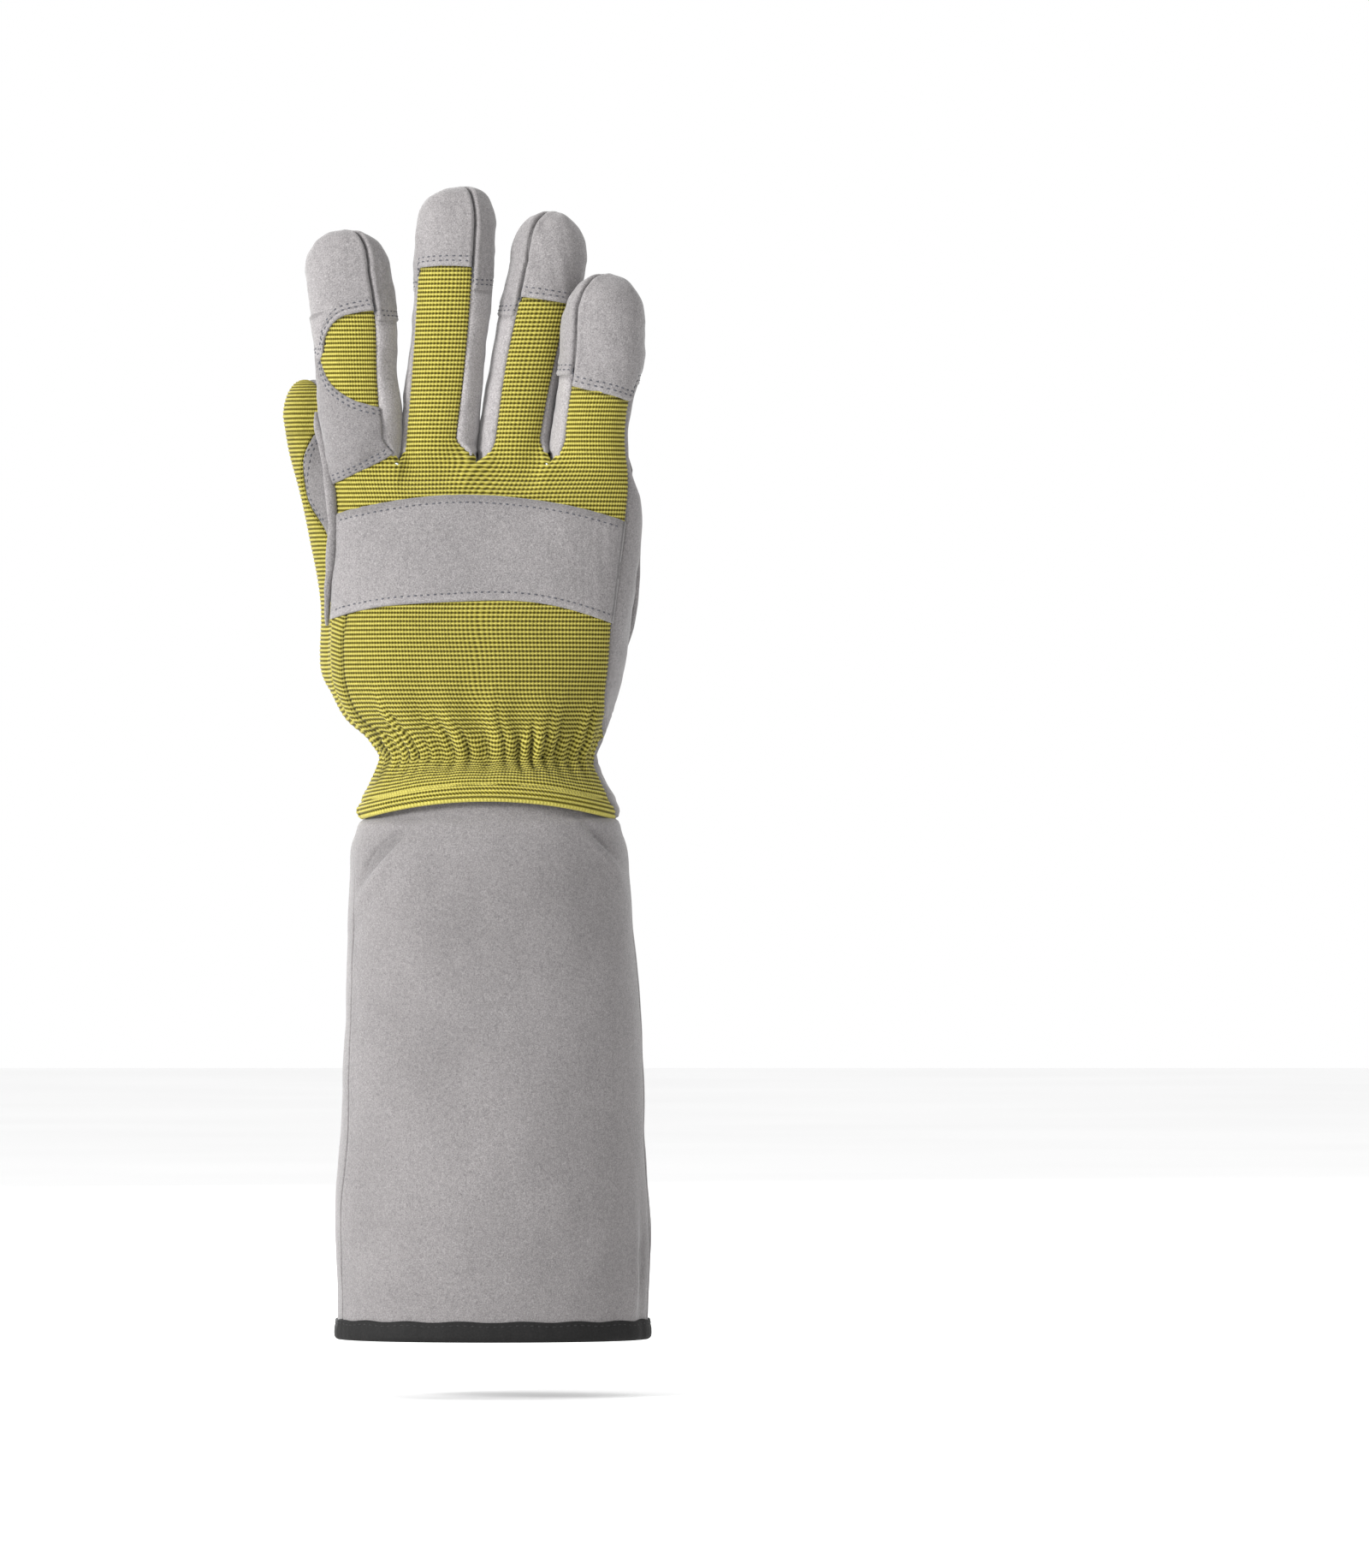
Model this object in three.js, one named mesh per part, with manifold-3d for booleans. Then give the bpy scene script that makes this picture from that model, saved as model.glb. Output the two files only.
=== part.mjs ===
import * as THREE from 'three'
import Module from 'manifold-3d'

const wasm = await Module()
wasm.setup()

// Rose pruning gauntlet for the right hand, in millimetres.
// Back of the hand faces -Y, palm +Y, thumb -X, fingers up. The open hem lies in the plane Z = 0.

// Sleeve
const cuff_length = 183
const hem_width = 112
const hem_depth = 78
const cuff_wall = 1.8
const tuck_rise = 15.5

// Black binding round the hem
const binding_height = 7.2
const binding_wall = 1.3

// Gathered wrist and skirt
const skirt_height = 21
const skirt_flare = 6.9
const skirt_arch = 6.2
const hem_roll = 0.7
const wrist_width = 76.5
const wrist_depth = 53
const pleat_count = 20
const pleat_depth = 1.6
const pleat_reach = 12

// Hand
const palm_length = 103
const palm_width = 108
const palm_depth = 58
const cloth_wall = 1.6

// Fingers: length above the web, width and thickness
const index_length = 81
const index_width = 30.6
const middle_length = 96.5
const middle_width = 27
const ring_length = 87.5
const ring_width = 27.5
const little_length = 65
const little_width = 28
const finger_depth = 22

// Thumb: length above its root, width and thickness
const thumb_length = 123
const thumb_width = 31.5
const thumb_depth = 26

// Layers sewn on
const strap_wall = 1.3
const strap_height = 36.5
const wrap_wall = 1.2
const pad_wall = 1.3
const heel_pad_thickness = 5.2
const cap_step = 0.5

// Seam gap between two pieces
const gap = 0.3

// Heights that follow
const gather_z = cuff_length + skirt_height
const web_z = gather_z + palm_length
const thumb_z = gather_z + palm_length * 0.097
const far = 4 * (palm_width + hem_depth)

// Hand sections, from the gathers up. Shares of palm_length, palm_width and palm_depth.
const palm_rows = [
  { up: 0.06, thumb_side: -0.396, little_side: 0.356, back: -0.462, front: 0.462, square: 2.15 },
  { up: 0.136, thumb_side: -0.472, little_side: 0.384, back: -0.47, front: 0.5, square: 2.2 },
  { up: 0.233, thumb_side: -0.519, little_side: 0.412, back: -0.462, front: 0.53, square: 2.25 },
  { up: 0.35, thumb_side: -0.536, little_side: 0.44, back: -0.438, front: 0.54, square: 2.3 },
  { up: 0.476, thumb_side: -0.533, little_side: 0.461, back: -0.412, front: 0.505, square: 2.35 },
  { up: 0.62, thumb_side: -0.519, little_side: 0.468, back: -0.379, front: 0.44, square: 2.4 },
  { up: 0.767, thumb_side: -0.513, little_side: 0.481, back: -0.325, front: 0.36, square: 2.45 },
  { up: 0.893, thumb_side: -0.523, little_side: 0.481, back: -0.277, front: 0.285, square: 2.5 },
  { up: 0.955, thumb_side: -0.53, little_side: 0.47, back: -0.238, front: 0.215, square: 2.5 },
  { up: 1, thumb_side: -0.52, little_side: 0.45, back: -0.165, front: 0.125, square: 2.5, lift: 1 },
]

// Finger sections. up in finger lengths, mid and wide in finger widths, out and deep in finger_depth.
const fingers = [
  {
    name: 'index', length: index_length, width: index_width, root: -0.417,
    cap_back: 0.652, cap_front: 0.728, seam_left: -2, seam_right: 0.52, dome: 0.173, skew: -0.01,
    rows: [
      { up: -0.09, mid: 0, wide: 0.76, out: -0.09, deep: 0.86 },
      { up: 0.099, mid: -0.01, wide: 0.86, out: -0.09, deep: 1 },
      { up: 0.21, mid: -0.035, wide: 0.885, out: -0.05, deep: 0.98 },
      { up: 0.37, mid: -0.065, wide: 0.895, out: 0.0, deep: 0.96 },
      { up: 0.63, mid: -0.103, wide: 0.95, out: 0.1, deep: 1 },
      { up: 0.827, mid: -0.183, wide: 0.935, out: 0.23, deep: 0.96 },
    ],
  },
  {
    name: 'middle', length: middle_length, width: middle_width, root: -0.178,
    cap_back: 0.712, cap_front: 0.672, seam_left: -0.93, seam_right: 0.5, dome: 0.134, skew: 0.11,
    rows: [
      { up: -0.075, mid: -0.005, wide: 0.9, out: -0.06, deep: 0.86 },
      { up: 0.08, mid: 0.03, wide: 0.93, out: -0.05, deep: 1 },
      { up: 0.3, mid: 0.11, wide: 0.97, out: 0.05, deep: 0.97 },
      { up: 0.632, mid: 0.2, wide: 1, out: 0.26, deep: 1 },
      { up: 0.866, mid: 0.244, wide: 0.978, out: 0.43, deep: 0.93 },
    ],
  },
  {
    name: 'ring', length: ring_length, width: ring_width, root: 0.063,
    cap_back: 0.652, cap_front: 0.592, seam_left: -0.56, seam_right: 0.78, dome: 0.189, skew: 0.04,
    rows: [
      { up: -0.08, mid: 0, wide: 0.84, out: -0.05, deep: 0.86 },
      { up: 0.09, mid: 0.04, wide: 0.88, out: 0, deep: 1 },
      { up: 0.206, mid: 0.09, wide: 0.9, out: 0.05, deep: 0.98 },
      { up: 0.41, mid: 0.2, wide: 0.955, out: 0.2, deep: 0.95 },
      { up: 0.6, mid: 0.33, wide: 0.965, out: 0.32, deep: 0.96 },
      { up: 0.811, mid: 0.469, wide: 0.924, out: 0.42, deep: 0.95 },
    ],
  },
  {
    name: 'little', length: little_length, width: little_width, root: 0.324,
    cap_back: 0.385, cap_front: 0.54, seam_left: -0.66, seam_right: 0.93, dome: 0.242, skew: 0.035,
    rows: [
      { up: -0.1, mid: 0, wide: 0.95, out: -0.14, deep: 0.86 },
      { up: 0.17, mid: -0.02, wide: 0.96, out: -0.17, deep: 1 },
      { up: 0.31, mid: 0.02, wide: 0.96, out: -0.19, deep: 0.98 },
      { up: 0.477, mid: 0.105, wide: 1.02, out: -0.23, deep: 0.97 },
      { up: 0.754, mid: 0.15, wide: 0.99, out: -0.24, deep: 0.95 },
    ],
  },
]

// Thumb sections. up in thumb lengths, mid and wide in thumb widths, out and deep in thumb_depth.
const thumb = {
  name: 'thumb', length: thumb_length, width: thumb_width, root: -0.463, dome: 0.106, skew: -0.1,
  rows: [
    { up: 0.0, mid: 0.468, wide: 0.95, out: 0.27, deep: 1.1 },
    { up: 0.09, mid: 0.412, wide: 1.38, out: 0.46, deep: 1.38 },
    { up: 0.21, mid: 0.43, wide: 1.54, out: 0.63, deep: 1.48 },
    { up: 0.36, mid: 0.39, wide: 1.43, out: 0.79, deep: 1.46 },
    { up: 0.577, mid: 0.111, wide: 1.175, out: 1.02, deep: 1.19 },
    { up: 0.7, mid: -0.087, wide: 1.0, out: 1.15, deep: 1 },
    { up: 0.797, mid: -0.254, wide: 0.89, out: 1.21, deep: 0.93 },
    { up: 0.894, mid: -0.405, wide: 0.715, out: 1.26, deep: 0.83 },
  ],
}

// Cuff sections. up in cuff lengths, shift and wide in hem widths, deep in hem depths.
const cuff_rows = [
  { up: 0.0, shift: 0.003, wide: 0.972, deep: 0.972 },
  { up: 0.17, shift: 0.005, wide: 0.992, deep: 0.992 },
  { up: 0.43, shift: 0.005, wide: 0.943, deep: 0.955 },
  { up: 0.63, shift: 0.004, wide: 0.914, deep: 0.93 },
  { up: 0.78, shift: -0.004, wide: 0.89, deep: 0.905 },
  { up: 0.88, shift: -0.009, wide: 0.876, deep: 0.88 },
  { up: 0.955, shift: -0.014, wide: 0.846, deep: 0.85 },
]

// Soft folds of the cuff. turn in degrees from +X, up in cuff lengths, tilt along the turn.
const cuff_folds = [
  { turn: 228, up: 0.9, tilt: 0.004, reach: 24, tall: 0.022, deep: -2.2 },
  { turn: 250, up: 0.86, tilt: 0.003, reach: 26, tall: 0.035, deep: 1.2 },
  { turn: 312, up: 0.9, tilt: -0.003, reach: 22, tall: 0.03, deep: -1.4 },
  { turn: 120, up: 0.88, tilt: -0.002, reach: 30, tall: 0.03, deep: -1.2 },
]

// Places along a cut, in shares of palm_length above the gathers and of palm_width
const little_seam = [
  { up: -0.4, across: 0.48 },
  { up: -0.19, across: 0.4 },
  { up: 0, across: 0.338 },
  { up: 0.1, across: 0.366 },
  { up: 0.2, across: 0.369 },
  { up: 0.3, across: 0.381 },
  { up: 0.47, across: 0.392 },
  { up: 0.79, across: 0.433 },
  { up: 0.98, across: 0.447 },
]
const thumb_root_seam = [
  { up: -0.4, across: -0.074 },
  { up: 0.03, across: -0.106 },
  { up: 0.2, across: -0.136 },
  { up: 0.24, across: -0.094 },
  { up: 0.65, across: -0.083 },
  { up: 0.79, across: -0.13 },
  { up: 0.9, across: -0.18 },
]
const thumb_side_seam = [
  { up: 0.2, across: -0.136 },
  { up: 0.27, across: -0.2 },
  { up: 0.44, across: -0.27 },
  { up: 0.68, across: -0.37 },
  { up: 1.0, across: -0.5 },
  { up: 1.17, across: -0.6 },
  { up: 1.4, across: -0.7 },
]
const thumb_inner_strip = [
  { up: 0.7, across: -0.535 },
  { up: 0.85, across: -0.575 },
  { up: 0.97, across: -0.6 },
  { up: 1.06, across: -0.59 },
  { up: 1.13, across: -0.555 },
  { up: 1.3, across: -0.53 },
]

// Low point first, then round the panel as seen from the back
const wrap_edge = [
  { up: 0.92, across: -0.514 },
  { up: 0.935, across: -0.46 },
  { up: 0.965, across: -0.4 },
  { up: 1.03, across: -0.343 },
]
const window_edge = [
  { up: 0.23, across: 1.4 },
  { up: 0.25, across: 0.2 },
  { up: 0.28, across: -0.1 },
  { up: 0.345, across: -0.55 },
  { up: 0.42, across: -0.8 },
  { up: 0.5, across: -0.87 },
  { up: 0.565, across: -0.75 },
  { up: 0.61, across: -0.45 },
  { up: 0.635, across: 0.05 },
  { up: 0.645, across: 1.4 },
]

// Scallops of the palm pad: a lobe for each finger, as shares of palm_width and palm_length
const pad_lobes = [
  { across: 0.335, half: 0.105, valley: 1.0, peak: 1.15 },
  { across: 0.083, half: 0.1, valley: 1.0, peak: 1.13 },
  { across: -0.16, half: 0.1, valley: 1.045, peak: 1.17 },
  { across: -0.405, half: 0.1, valley: 1.05, peak: 1.21 },
]
const pad_foot = [
  { up: 0.965, across: -0.3 },
  { up: 0.895, across: -0.24 },
  { up: 0.882, across: -0.1 },
  { up: 0.88, across: 0.09 },
  { up: 0.86, across: 0.3 },
  { up: 0.86, across: 0.6 },
  { up: 1.06, across: 0.6 },
]

// Heel pad outline: turn in degrees round the palm from the little-finger side
const heel_rows = [
  { up: 0.73, turn: 12 },
  { up: 0.785, turn: 26 },
  { up: 0.825, turn: 52 },
  { up: 0.848, turn: 78 },
  { up: 0.857, turn: 98 },
  { up: 0.855, turn: 110 },
  { up: 0.8, turn: 112 },
  { up: 0.68, turn: 107 },
  { up: 0.5, turn: 104 },
  { up: 0.4, turn: 100 },
  { up: 0.3, turn: 90 },
  { up: 0.235, turn: 72 },
  { up: 0.215, turn: 55 },
  { up: 0.23, turn: 38 },
  { up: 0.31, turn: 24 },
  { up: 0.45, turn: 12 },
  { up: 0.6, turn: 8 },
]

// Closed solid from corners and triangles
function solid(points, faces) {
  const mesh = new wasm.Mesh({
    numProp: 3,
    vertProperties: new Float32Array(points.flat()),
    triVerts: new Uint32Array(faces.flat()),
  })
  return new wasm.Manifold(mesh)
}

// Closed solid through level rings, each turning the same way, with a centre at each end
function stack(rings, foot, head) {
  const count = rings[0].length
  const points = [...rings.flat(), foot, head]
  const faces = []
  for (let r = 0; r + 1 < rings.length; r++) {
    for (let i = 0; i < count; i++) {
      const a = r * count + i
      const b = r * count + ((i + 1) % count)
      faces.push([a, b, b + count], [a, b + count, a + count])
    }
  }
  const low = rings.length * count
  const top = (rings.length - 1) * count
  for (let i = 0; i < count; i++) {
    const next = (i + 1) % count
    faces.push([low, next, i], [low + 1, top + i, top + next])
  }
  return solid(points, faces)
}

// Superellipse point: 2 is an ellipse, more is squarer
function oval(turn, half_x, half_y, square) {
  const c = Math.cos(turn)
  const s = Math.sin(turn)
  const power = 2 / square
  return [
    Math.sign(c) * half_x * Math.abs(c) ** power,
    Math.sign(s) * half_y * Math.abs(s) ** power,
  ]
}

// Straight reading between the rows of a table that rises in key
function between(rows, key, at, want) {
  if (at <= rows[0][key]) {
    return rows[0][want]
  }
  for (let i = 0; i + 1 < rows.length; i++) {
    if (at <= rows[i + 1][key]) {
      const share = (at - rows[i][key]) / (rows[i + 1][key] - rows[i][key])
      return rows[i][want] + share * (rows[i + 1][want] - rows[i][want])
    }
  }
  return rows[rows.length - 1][want]
}

// Wrist and skirt: size of the section at a height between the hem and the first palm row
const wrist_mid = -0.018 * wrist_width
const skirt_rows = [
  { z: -0.12, flare: 1, roll: 0, fold: 0.1, arch: 1 },
  { z: 0.0, flare: 1, roll: 0.3, fold: 0.1, arch: 1 },
  { z: 0.1, flare: 1, roll: 1, fold: 0.15, arch: 1 },
  { z: 0.26, flare: 0.95, roll: 0.2, fold: 0.3, arch: 1 },
  { z: 0.55, flare: 0.5, roll: 0, fold: 0.6, arch: 0.7 },
  { z: 1.0, flare: 0, roll: 0, fold: 1, arch: 0 },
]

// One ring of the hand at z, grown by off, with the pleats of the elastic
function handRing(row, off) {
  const ring = []
  const sides = 2 * pleat_count
  for (let i = 0; i < sides; i++) {
    const turn = (2 * Math.PI * i) / sides
    const fold = (i % 2 ? 1 : -1) * pleat_depth * row.fold
    const grow = off + fold + (row.roll || 0)
    const [x, y] = oval(turn, row.half_x + grow, row.half_y + grow, row.square)
    const arch = row.arch * skirt_arch * Math.sin(turn) ** 2
    ring.push([row.mid_x + x, row.mid_y + y, row.z + (row.lift || 0) * off + arch])
  }
  return ring
}

const palm_sections = palm_rows.map((row) => ({
  z: gather_z + row.up * palm_length,
  mid_x: ((row.thumb_side + row.little_side) / 2) * palm_width,
  half_x: ((row.little_side - row.thumb_side) / 2) * palm_width,
  mid_y: ((row.back + row.front) / 2) * palm_depth,
  half_y: ((row.front - row.back) / 2) * palm_depth,
  square: row.square,
  lift: row.lift || 0,
  arch: 0,
  fold: 0.8 * Math.exp(-((row.up * palm_length) ** 2) / pleat_reach ** 2),
}))
const skirt_sections = skirt_rows.map((row) => ({
  z: cuff_length + row.z * skirt_height,
  mid_x: wrist_mid,
  half_x: wrist_width / 2 + row.flare * skirt_flare,
  mid_y: 0,
  half_y: wrist_depth / 2 + row.flare * skirt_flare,
  square: 2.1,
  roll: row.roll * hem_roll,
  arch: row.arch,
  fold: row.fold,
}))

// Body of the hand: the outside when off is 0, the hollow when it is minus the wall
function hand(off) {
  const inner = off < 0
  const skirt = skirt_sections.filter((row, i) => (inner ? i !== 1 && i !== 2 : i > 0))
  const palm = palm_sections.filter((row, i) => !inner || ![3, 5, 7].includes(i))
  const rows = [...skirt, ...palm]
  const rings = rows.map((row) => handRing(inner ? { ...row, roll: 0 } : row, off))
  const first = rings[0].reduce((sum, p) => sum + p[2], 0) / rings[0].length
  const last = rows[rows.length - 1]
  return stack(rings, [wrist_mid, 0, first], [last.mid_x, last.mid_y, last.z + last.lift * off])
}

// A finger or the thumb at a share of its length: centre and half sizes
function place(f, row) {
  return {
    z: (f === thumb ? thumb_z : web_z) + row.up * f.length,
    mid_x: f.root * palm_width + row.mid * f.width,
    half_x: (row.wide * f.width) / 2,
    mid_y: row.out * (f === thumb ? thumb_depth : finger_depth),
    half_y: (row.deep * (f === thumb ? thumb_depth : finger_depth)) / 2,
  }
}

function finger(f, off) {
  const sides = off < 0 ? 10 : 14
  const rings = []
  const ringAt = (at, grow) => {
    const ring = []
    for (let i = 0; i < sides; i++) {
      const [x, y] = oval((2 * Math.PI * i) / sides, at.half_x + grow, at.half_y + grow, 2.2)
      ring.push([at.mid_x + x, at.mid_y + y, at.z])
    }
    rings.push(ring)
  }
  const spots = f.rows.map((row) => place(f, row))
  spots.forEach((at) => ringAt(at, off))
  const last = spots[spots.length - 1]
  const high = f.dome * f.length + off
  for (const turn of [32, 62]) {
    const c = Math.cos((turn * Math.PI) / 180)
    const s = Math.sin((turn * Math.PI) / 180)
    const side = f.skew * f.width * (1 - c)
    ringAt(
      {
        z: last.z + high * s,
        mid_x: last.mid_x + side,
        half_x: (last.half_x + off) * c,
        mid_y: last.mid_y,
        half_y: (last.half_y + off) * c,
      },
      0,
    )
  }
  const foot = [spots[0].mid_x, spots[0].mid_y, spots[0].z]
  return stack(rings, foot, [last.mid_x + f.skew * f.width, last.mid_y, last.z + high])
}

// Whole outside of the hand, grown by off
function skin(off) {
  let all = hand(off)
  for (const f of [...fingers, thumb]) {
    all = all.add(finger(f, off))
  }
  return all
}

// Outline helpers
function turned(outline) {
  let area = 0
  outline.forEach(([a, b], i) => {
    const [c, d] = outline[(i + 1) % outline.length]
    area += a * d - b * c
  })
  return area < 0 ? [...outline].reverse() : outline
}

function grown(outline, by) {
  const around = turned(outline)
  const count = around.length
  return around.map((here, i) => {
    const before = around[(i + count - 1) % count]
    const after = around[(i + 1) % count]
    const a = new THREE.Vector2(here[0] - before[0], here[1] - before[1]).normalize()
    const b = new THREE.Vector2(after[0] - here[0], after[1] - here[1]).normalize()
    const out = new THREE.Vector2(a.y + b.y, -a.x - b.x).normalize()
    const stretch = by / Math.max(0.45, out.x * a.y - out.y * a.x)
    return [here[0] + out.x * stretch, here[1] + out.y * stretch]
  })
}

// Prism along Y over an outline in X and Z
function alongY(outline, by = 0, low = -far, high = far) {
  const flat = by ? grown(outline, by) : turned(outline)
  const count = flat.length
  const points = [...flat.map(([x, z]) => [x, low, z]), ...flat.map(([x, z]) => [x, high, z])]
  const vectors = flat.map(([x, z]) => new THREE.Vector2(x, z))
  const faces = []
  for (const [a, b, c] of THREE.ShapeUtils.triangulateShape(vectors, [])) {
    faces.push([a, b, c], [c + count, b + count, a + count])
  }
  for (let i = 0; i < count; i++) {
    const j = (i + 1) % count
    faces.push([i, i + count, j + count], [i, j + count, j])
  }
  return solid(points, faces)
}

// Prism along X over an outline in Y and Z
function alongX(outline, by = 0, low = -far, high = far) {
  const flat = by ? grown(outline, by) : turned(outline)
  const count = flat.length
  const points = [...flat.map(([y, z]) => [low, y, z]), ...flat.map(([y, z]) => [high, y, z])]
  const vectors = flat.map(([y, z]) => new THREE.Vector2(y, z))
  const faces = []
  for (const [a, b, c] of THREE.ShapeUtils.triangulateShape(vectors, [])) {
    faces.push([c, b, a], [a + count, b + count, c + count])
  }
  for (let i = 0; i < count; i++) {
    const j = (i + 1) % count
    faces.push([i, j, j + count], [i, j + count, i + count])
  }
  return solid(points, faces)
}

const spot = (row) => [row.across * palm_width, gather_z + row.up * palm_length]

// Everything behind a line of depths, as seen from the side
function behind(line, by) {
  const first = line[0]
  const last = line[line.length - 1]
  return alongX([[-far, -far], [first[0], -far], ...line, [last[0], far], [-far, far]], by)
}

// Depth line of a finger: 0 is its middle, 1 its palm face
function depthLine(f, share) {
  const spots = f.rows.map((row) => place(f, row))
  return spots.map((at) => [at.mid_y + share * at.half_y, at.z])
}

// Side line of a finger: -1 its thumb side, 1 its little-finger side
function sideLine(f, share) {
  const spots = f.rows.map((row) => place(f, row))
  const last = spots[spots.length - 1]
  const line = spots.map((at) => [at.mid_x + share * at.half_x, at.z])
  const tip = [last.mid_x + f.skew * f.width + share * last.half_x * 0.5, last.z + f.dome * f.length + gap]
  return [...line, tip]
}

// Depth that parts the back of the hand from its palm
const edge_line = [
  [-0.07 * palm_depth, gather_z - palm_length],
  [-0.07 * palm_depth, gather_z + 0.7 * palm_length],
  [-0.03 * palm_depth, web_z - 0.06 * palm_length],
  [-0.03 * palm_depth, web_z + palm_length],
]

const hollow = skin(-cloth_wall)
const outside = skin(0)

// Fingertip caps
const cap_planes = {}
for (const f of fingers) {
  const low = web_z + f.cap_back * f.length
  const front = web_z + f.cap_front * f.length
  const slope = (front - low) / finger_depth
  cap_planes[f.name] = (by) => {
    const line = [
      [-far, low - slope * far - by],
      [far, low + slope * (far + finger_depth) - by],
    ]
    return alongX([...line, [far, 3 * far], [-far, 3 * far]])
  }
}
const caps = {}
let tips = null
for (const f of fingers) {
  const cup = finger(f, cap_step).subtract(finger(f, -cloth_wall))
  caps[f.name] = cup.intersect(cap_planes[f.name](0))
  const cut = finger(f, 2 * cap_step).intersect(cap_planes[f.name](gap))
  tips = tips ? tips.add(cut) : cut
}
const cloth = outside.subtract(hollow).subtract(tips)

// Webs between neighbours, from the index finger on
const webs = fingers.slice(0, 3).map((f, i) => {
  const a = place(f, { ...f.rows[1], up: 0 })
  const g = fingers[i + 1]
  const b = place(g, { ...g.rows[1], up: 0 })
  return { x: (a.mid_x + a.half_x + b.mid_x - b.half_x) / 2, z: web_z - 0.012 * palm_length }
})

// Region of one finger's own wall, above the webs
function own(f, by) {
  return finger(f, 0.15 + by).intersect(
    alongY([[-far, web_z - 0.05 * palm_length - by], [far, web_z - 0.05 * palm_length - by], [far, far * 3], [-far, far * 3]]),
  )
}

// Ribbed strip up the back of a finger
function strip(f, by) {
  const outline = [...sideLine(f, f.seam_right), ...sideLine(f, f.seam_left).reverse()]
  return own(f, by).intersect(alongY(outline, by)).intersect(behind(depthLine(f, 0), by))
}

// Back of the hand below the webs
function backRegion(by) {
  const outline = [[-far, -far], [far, -far]]
  outline.push(...little_seam.map(spot))
  const little = fingers[3]
  outline.push([sideLine(little, little.seam_right)[1][0], web_z + 0.03 * palm_length])
  for (let i = 3; i >= 0; i--) {
    const f = fingers[i]
    const at = place(f, { ...f.rows[1], up: 0.05 })
    outline.push([at.mid_x + f.seam_right * at.half_x, web_z + 0.03 * palm_length])
    if (i > 0) {
      outline.push([at.mid_x + f.seam_left * at.half_x, web_z + 0.03 * palm_length])
      outline.push([webs[i - 1].x, webs[i - 1].z])
    }
  }
  outline.push([-far, web_z + 0.03 * palm_length])
  outline.splice(2 + little_seam.length, 1)
  let region = alongY(outline, by).intersect(behind(edge_line, by))
  for (const f of fingers) {
    region = region.add(strip(f, by))
  }
  return region
}

// Side walls between two fingers, joined round the web
function gussetRegion(i, by) {
  const f = fingers[i]
  const g = fingers[i + 1]
  const right = [...sideLine(f, 0.1), ...sideLine(f, 3).reverse()]
  const left = [...sideLine(g, -0.1), ...sideLine(g, -3).reverse()]
  const side = (h, outline) => own(h, by).intersect(alongY(outline, by)).intersect(behind(depthLine(h, 0.45), by))
  const web = webs[i]
  const half = 0.035 * palm_width
  const drop = 0.035 * palm_length
  const vee = [[web.x - half, web_z + drop], [web.x, web.z - drop], [web.x + half, web_z + drop]]
  const low = -0.03 * palm_depth
  const patch = alongY(vee, by, low - 0.5 * finger_depth - by, low + 0.25 * finger_depth + by)
  return side(f, right).add(side(g, left)).add(patch)
}

// Thumb side: below the crotch everything round to the root seam, above it the thumb's own wall
const crotch_z = gather_z + 0.87 * palm_length
function thumbRegion(by) {
  const root = thumb_root_seam.map(spot)
  const outline = [[-far, -far], ...root, [-far, root[root.length - 1][1]]]
  const front = alongX([[edge_line[1][0] + gap - by, -far], [far, -far], [far, far], [edge_line[1][0] + gap - by, far]])
  const high = [[-far, crotch_z - by], [far, crotch_z - by], [far, far * 3], [-far, far * 3]]
  return alongY(outline, by).intersect(front).add(finger(thumb, 0.5 + by).intersect(alongY(high)))
}

// Grey inner side of the thumb
function thumbInner(by) {
  const side = thumb_side_seam.map(spot)
  const front = [...side, [far, side[side.length - 1][1]], [far, side[0][1]]]
  const strip_line = thumb_inner_strip.map(spot)
  const end = strip_line[strip_line.length - 1]
  const back = [...strip_line, [far, end[1]], [far, strip_line[0][1]]]
  const middle = depthLine(thumb, 0)
  const high = [[-far, crotch_z], [far, crotch_z], [far, far * 3], [-far, far * 3]]
  const rear = behind(middle, 0)
  const overlap = behind(middle, gap / 3)
  return alongY(front, by).subtract(rear.intersect(alongY(high))).add(alongY(back, by).intersect(overlap))
}

const back = backRegion(0)
const back_grown = backRegion(gap)
const thumb_side = thumbRegion(0)
const thumb_side_grown = thumbRegion(gap)

const back_panel = cloth.intersect(back).subtract(thumb_side_grown)
const walls = cloth.subtract(back_grown)
const thumb_cloth = walls.intersect(thumb_side)
const thumb_palm = thumb_cloth.intersect(thumbInner(0))
const thumb_back = thumb_cloth.subtract(thumbInner(gap))

let rest = walls.subtract(thumb_side_grown)
const gussets = []
for (let i = 0; i < 3; i++) {
  gussets.push(rest.intersect(gussetRegion(i, 0)))
}
for (let i = 0; i < 3; i++) {
  rest = rest.subtract(gussetRegion(i, gap))
}
const palm_suede = rest

// Layers sewn over the cloth
const under = skin(gap)
function layer(wall, outline, low, high) {
  return skin(gap + wall).subtract(under).intersect(alongY(outline, 0, low, high))
}

// Strap across the knuckles: its top bows up in the middle
const strap_top = gather_z + 0.8 * palm_length
const strap_bow = 0.075 * palm_length
const strap_outline = []
const strap_steps = 4
for (let i = 0; i <= strap_steps; i++) {
  const share = i / strap_steps
  const left = -0.53 + 0.925 * share
  const bow = strap_bow * (1 - (2 * share - 0.98) ** 2)
  strap_outline.push([left * palm_width, strap_top - strap_height + bow])
}
for (let i = strap_steps; i >= 0; i--) {
  const share = i / strap_steps
  const left = -0.51 + 0.945 * share
  const bow = strap_bow * (1 - (2 * share - 0.98) ** 2)
  strap_outline.push([left * palm_width, strap_top + bow - 0.02 * palm_length * (share - 0.5)])
}
const strap_edge = edge_line[1][0] - 1
const knuckle_strap = layer(strap_wall, strap_outline, -far, strap_edge)

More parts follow.
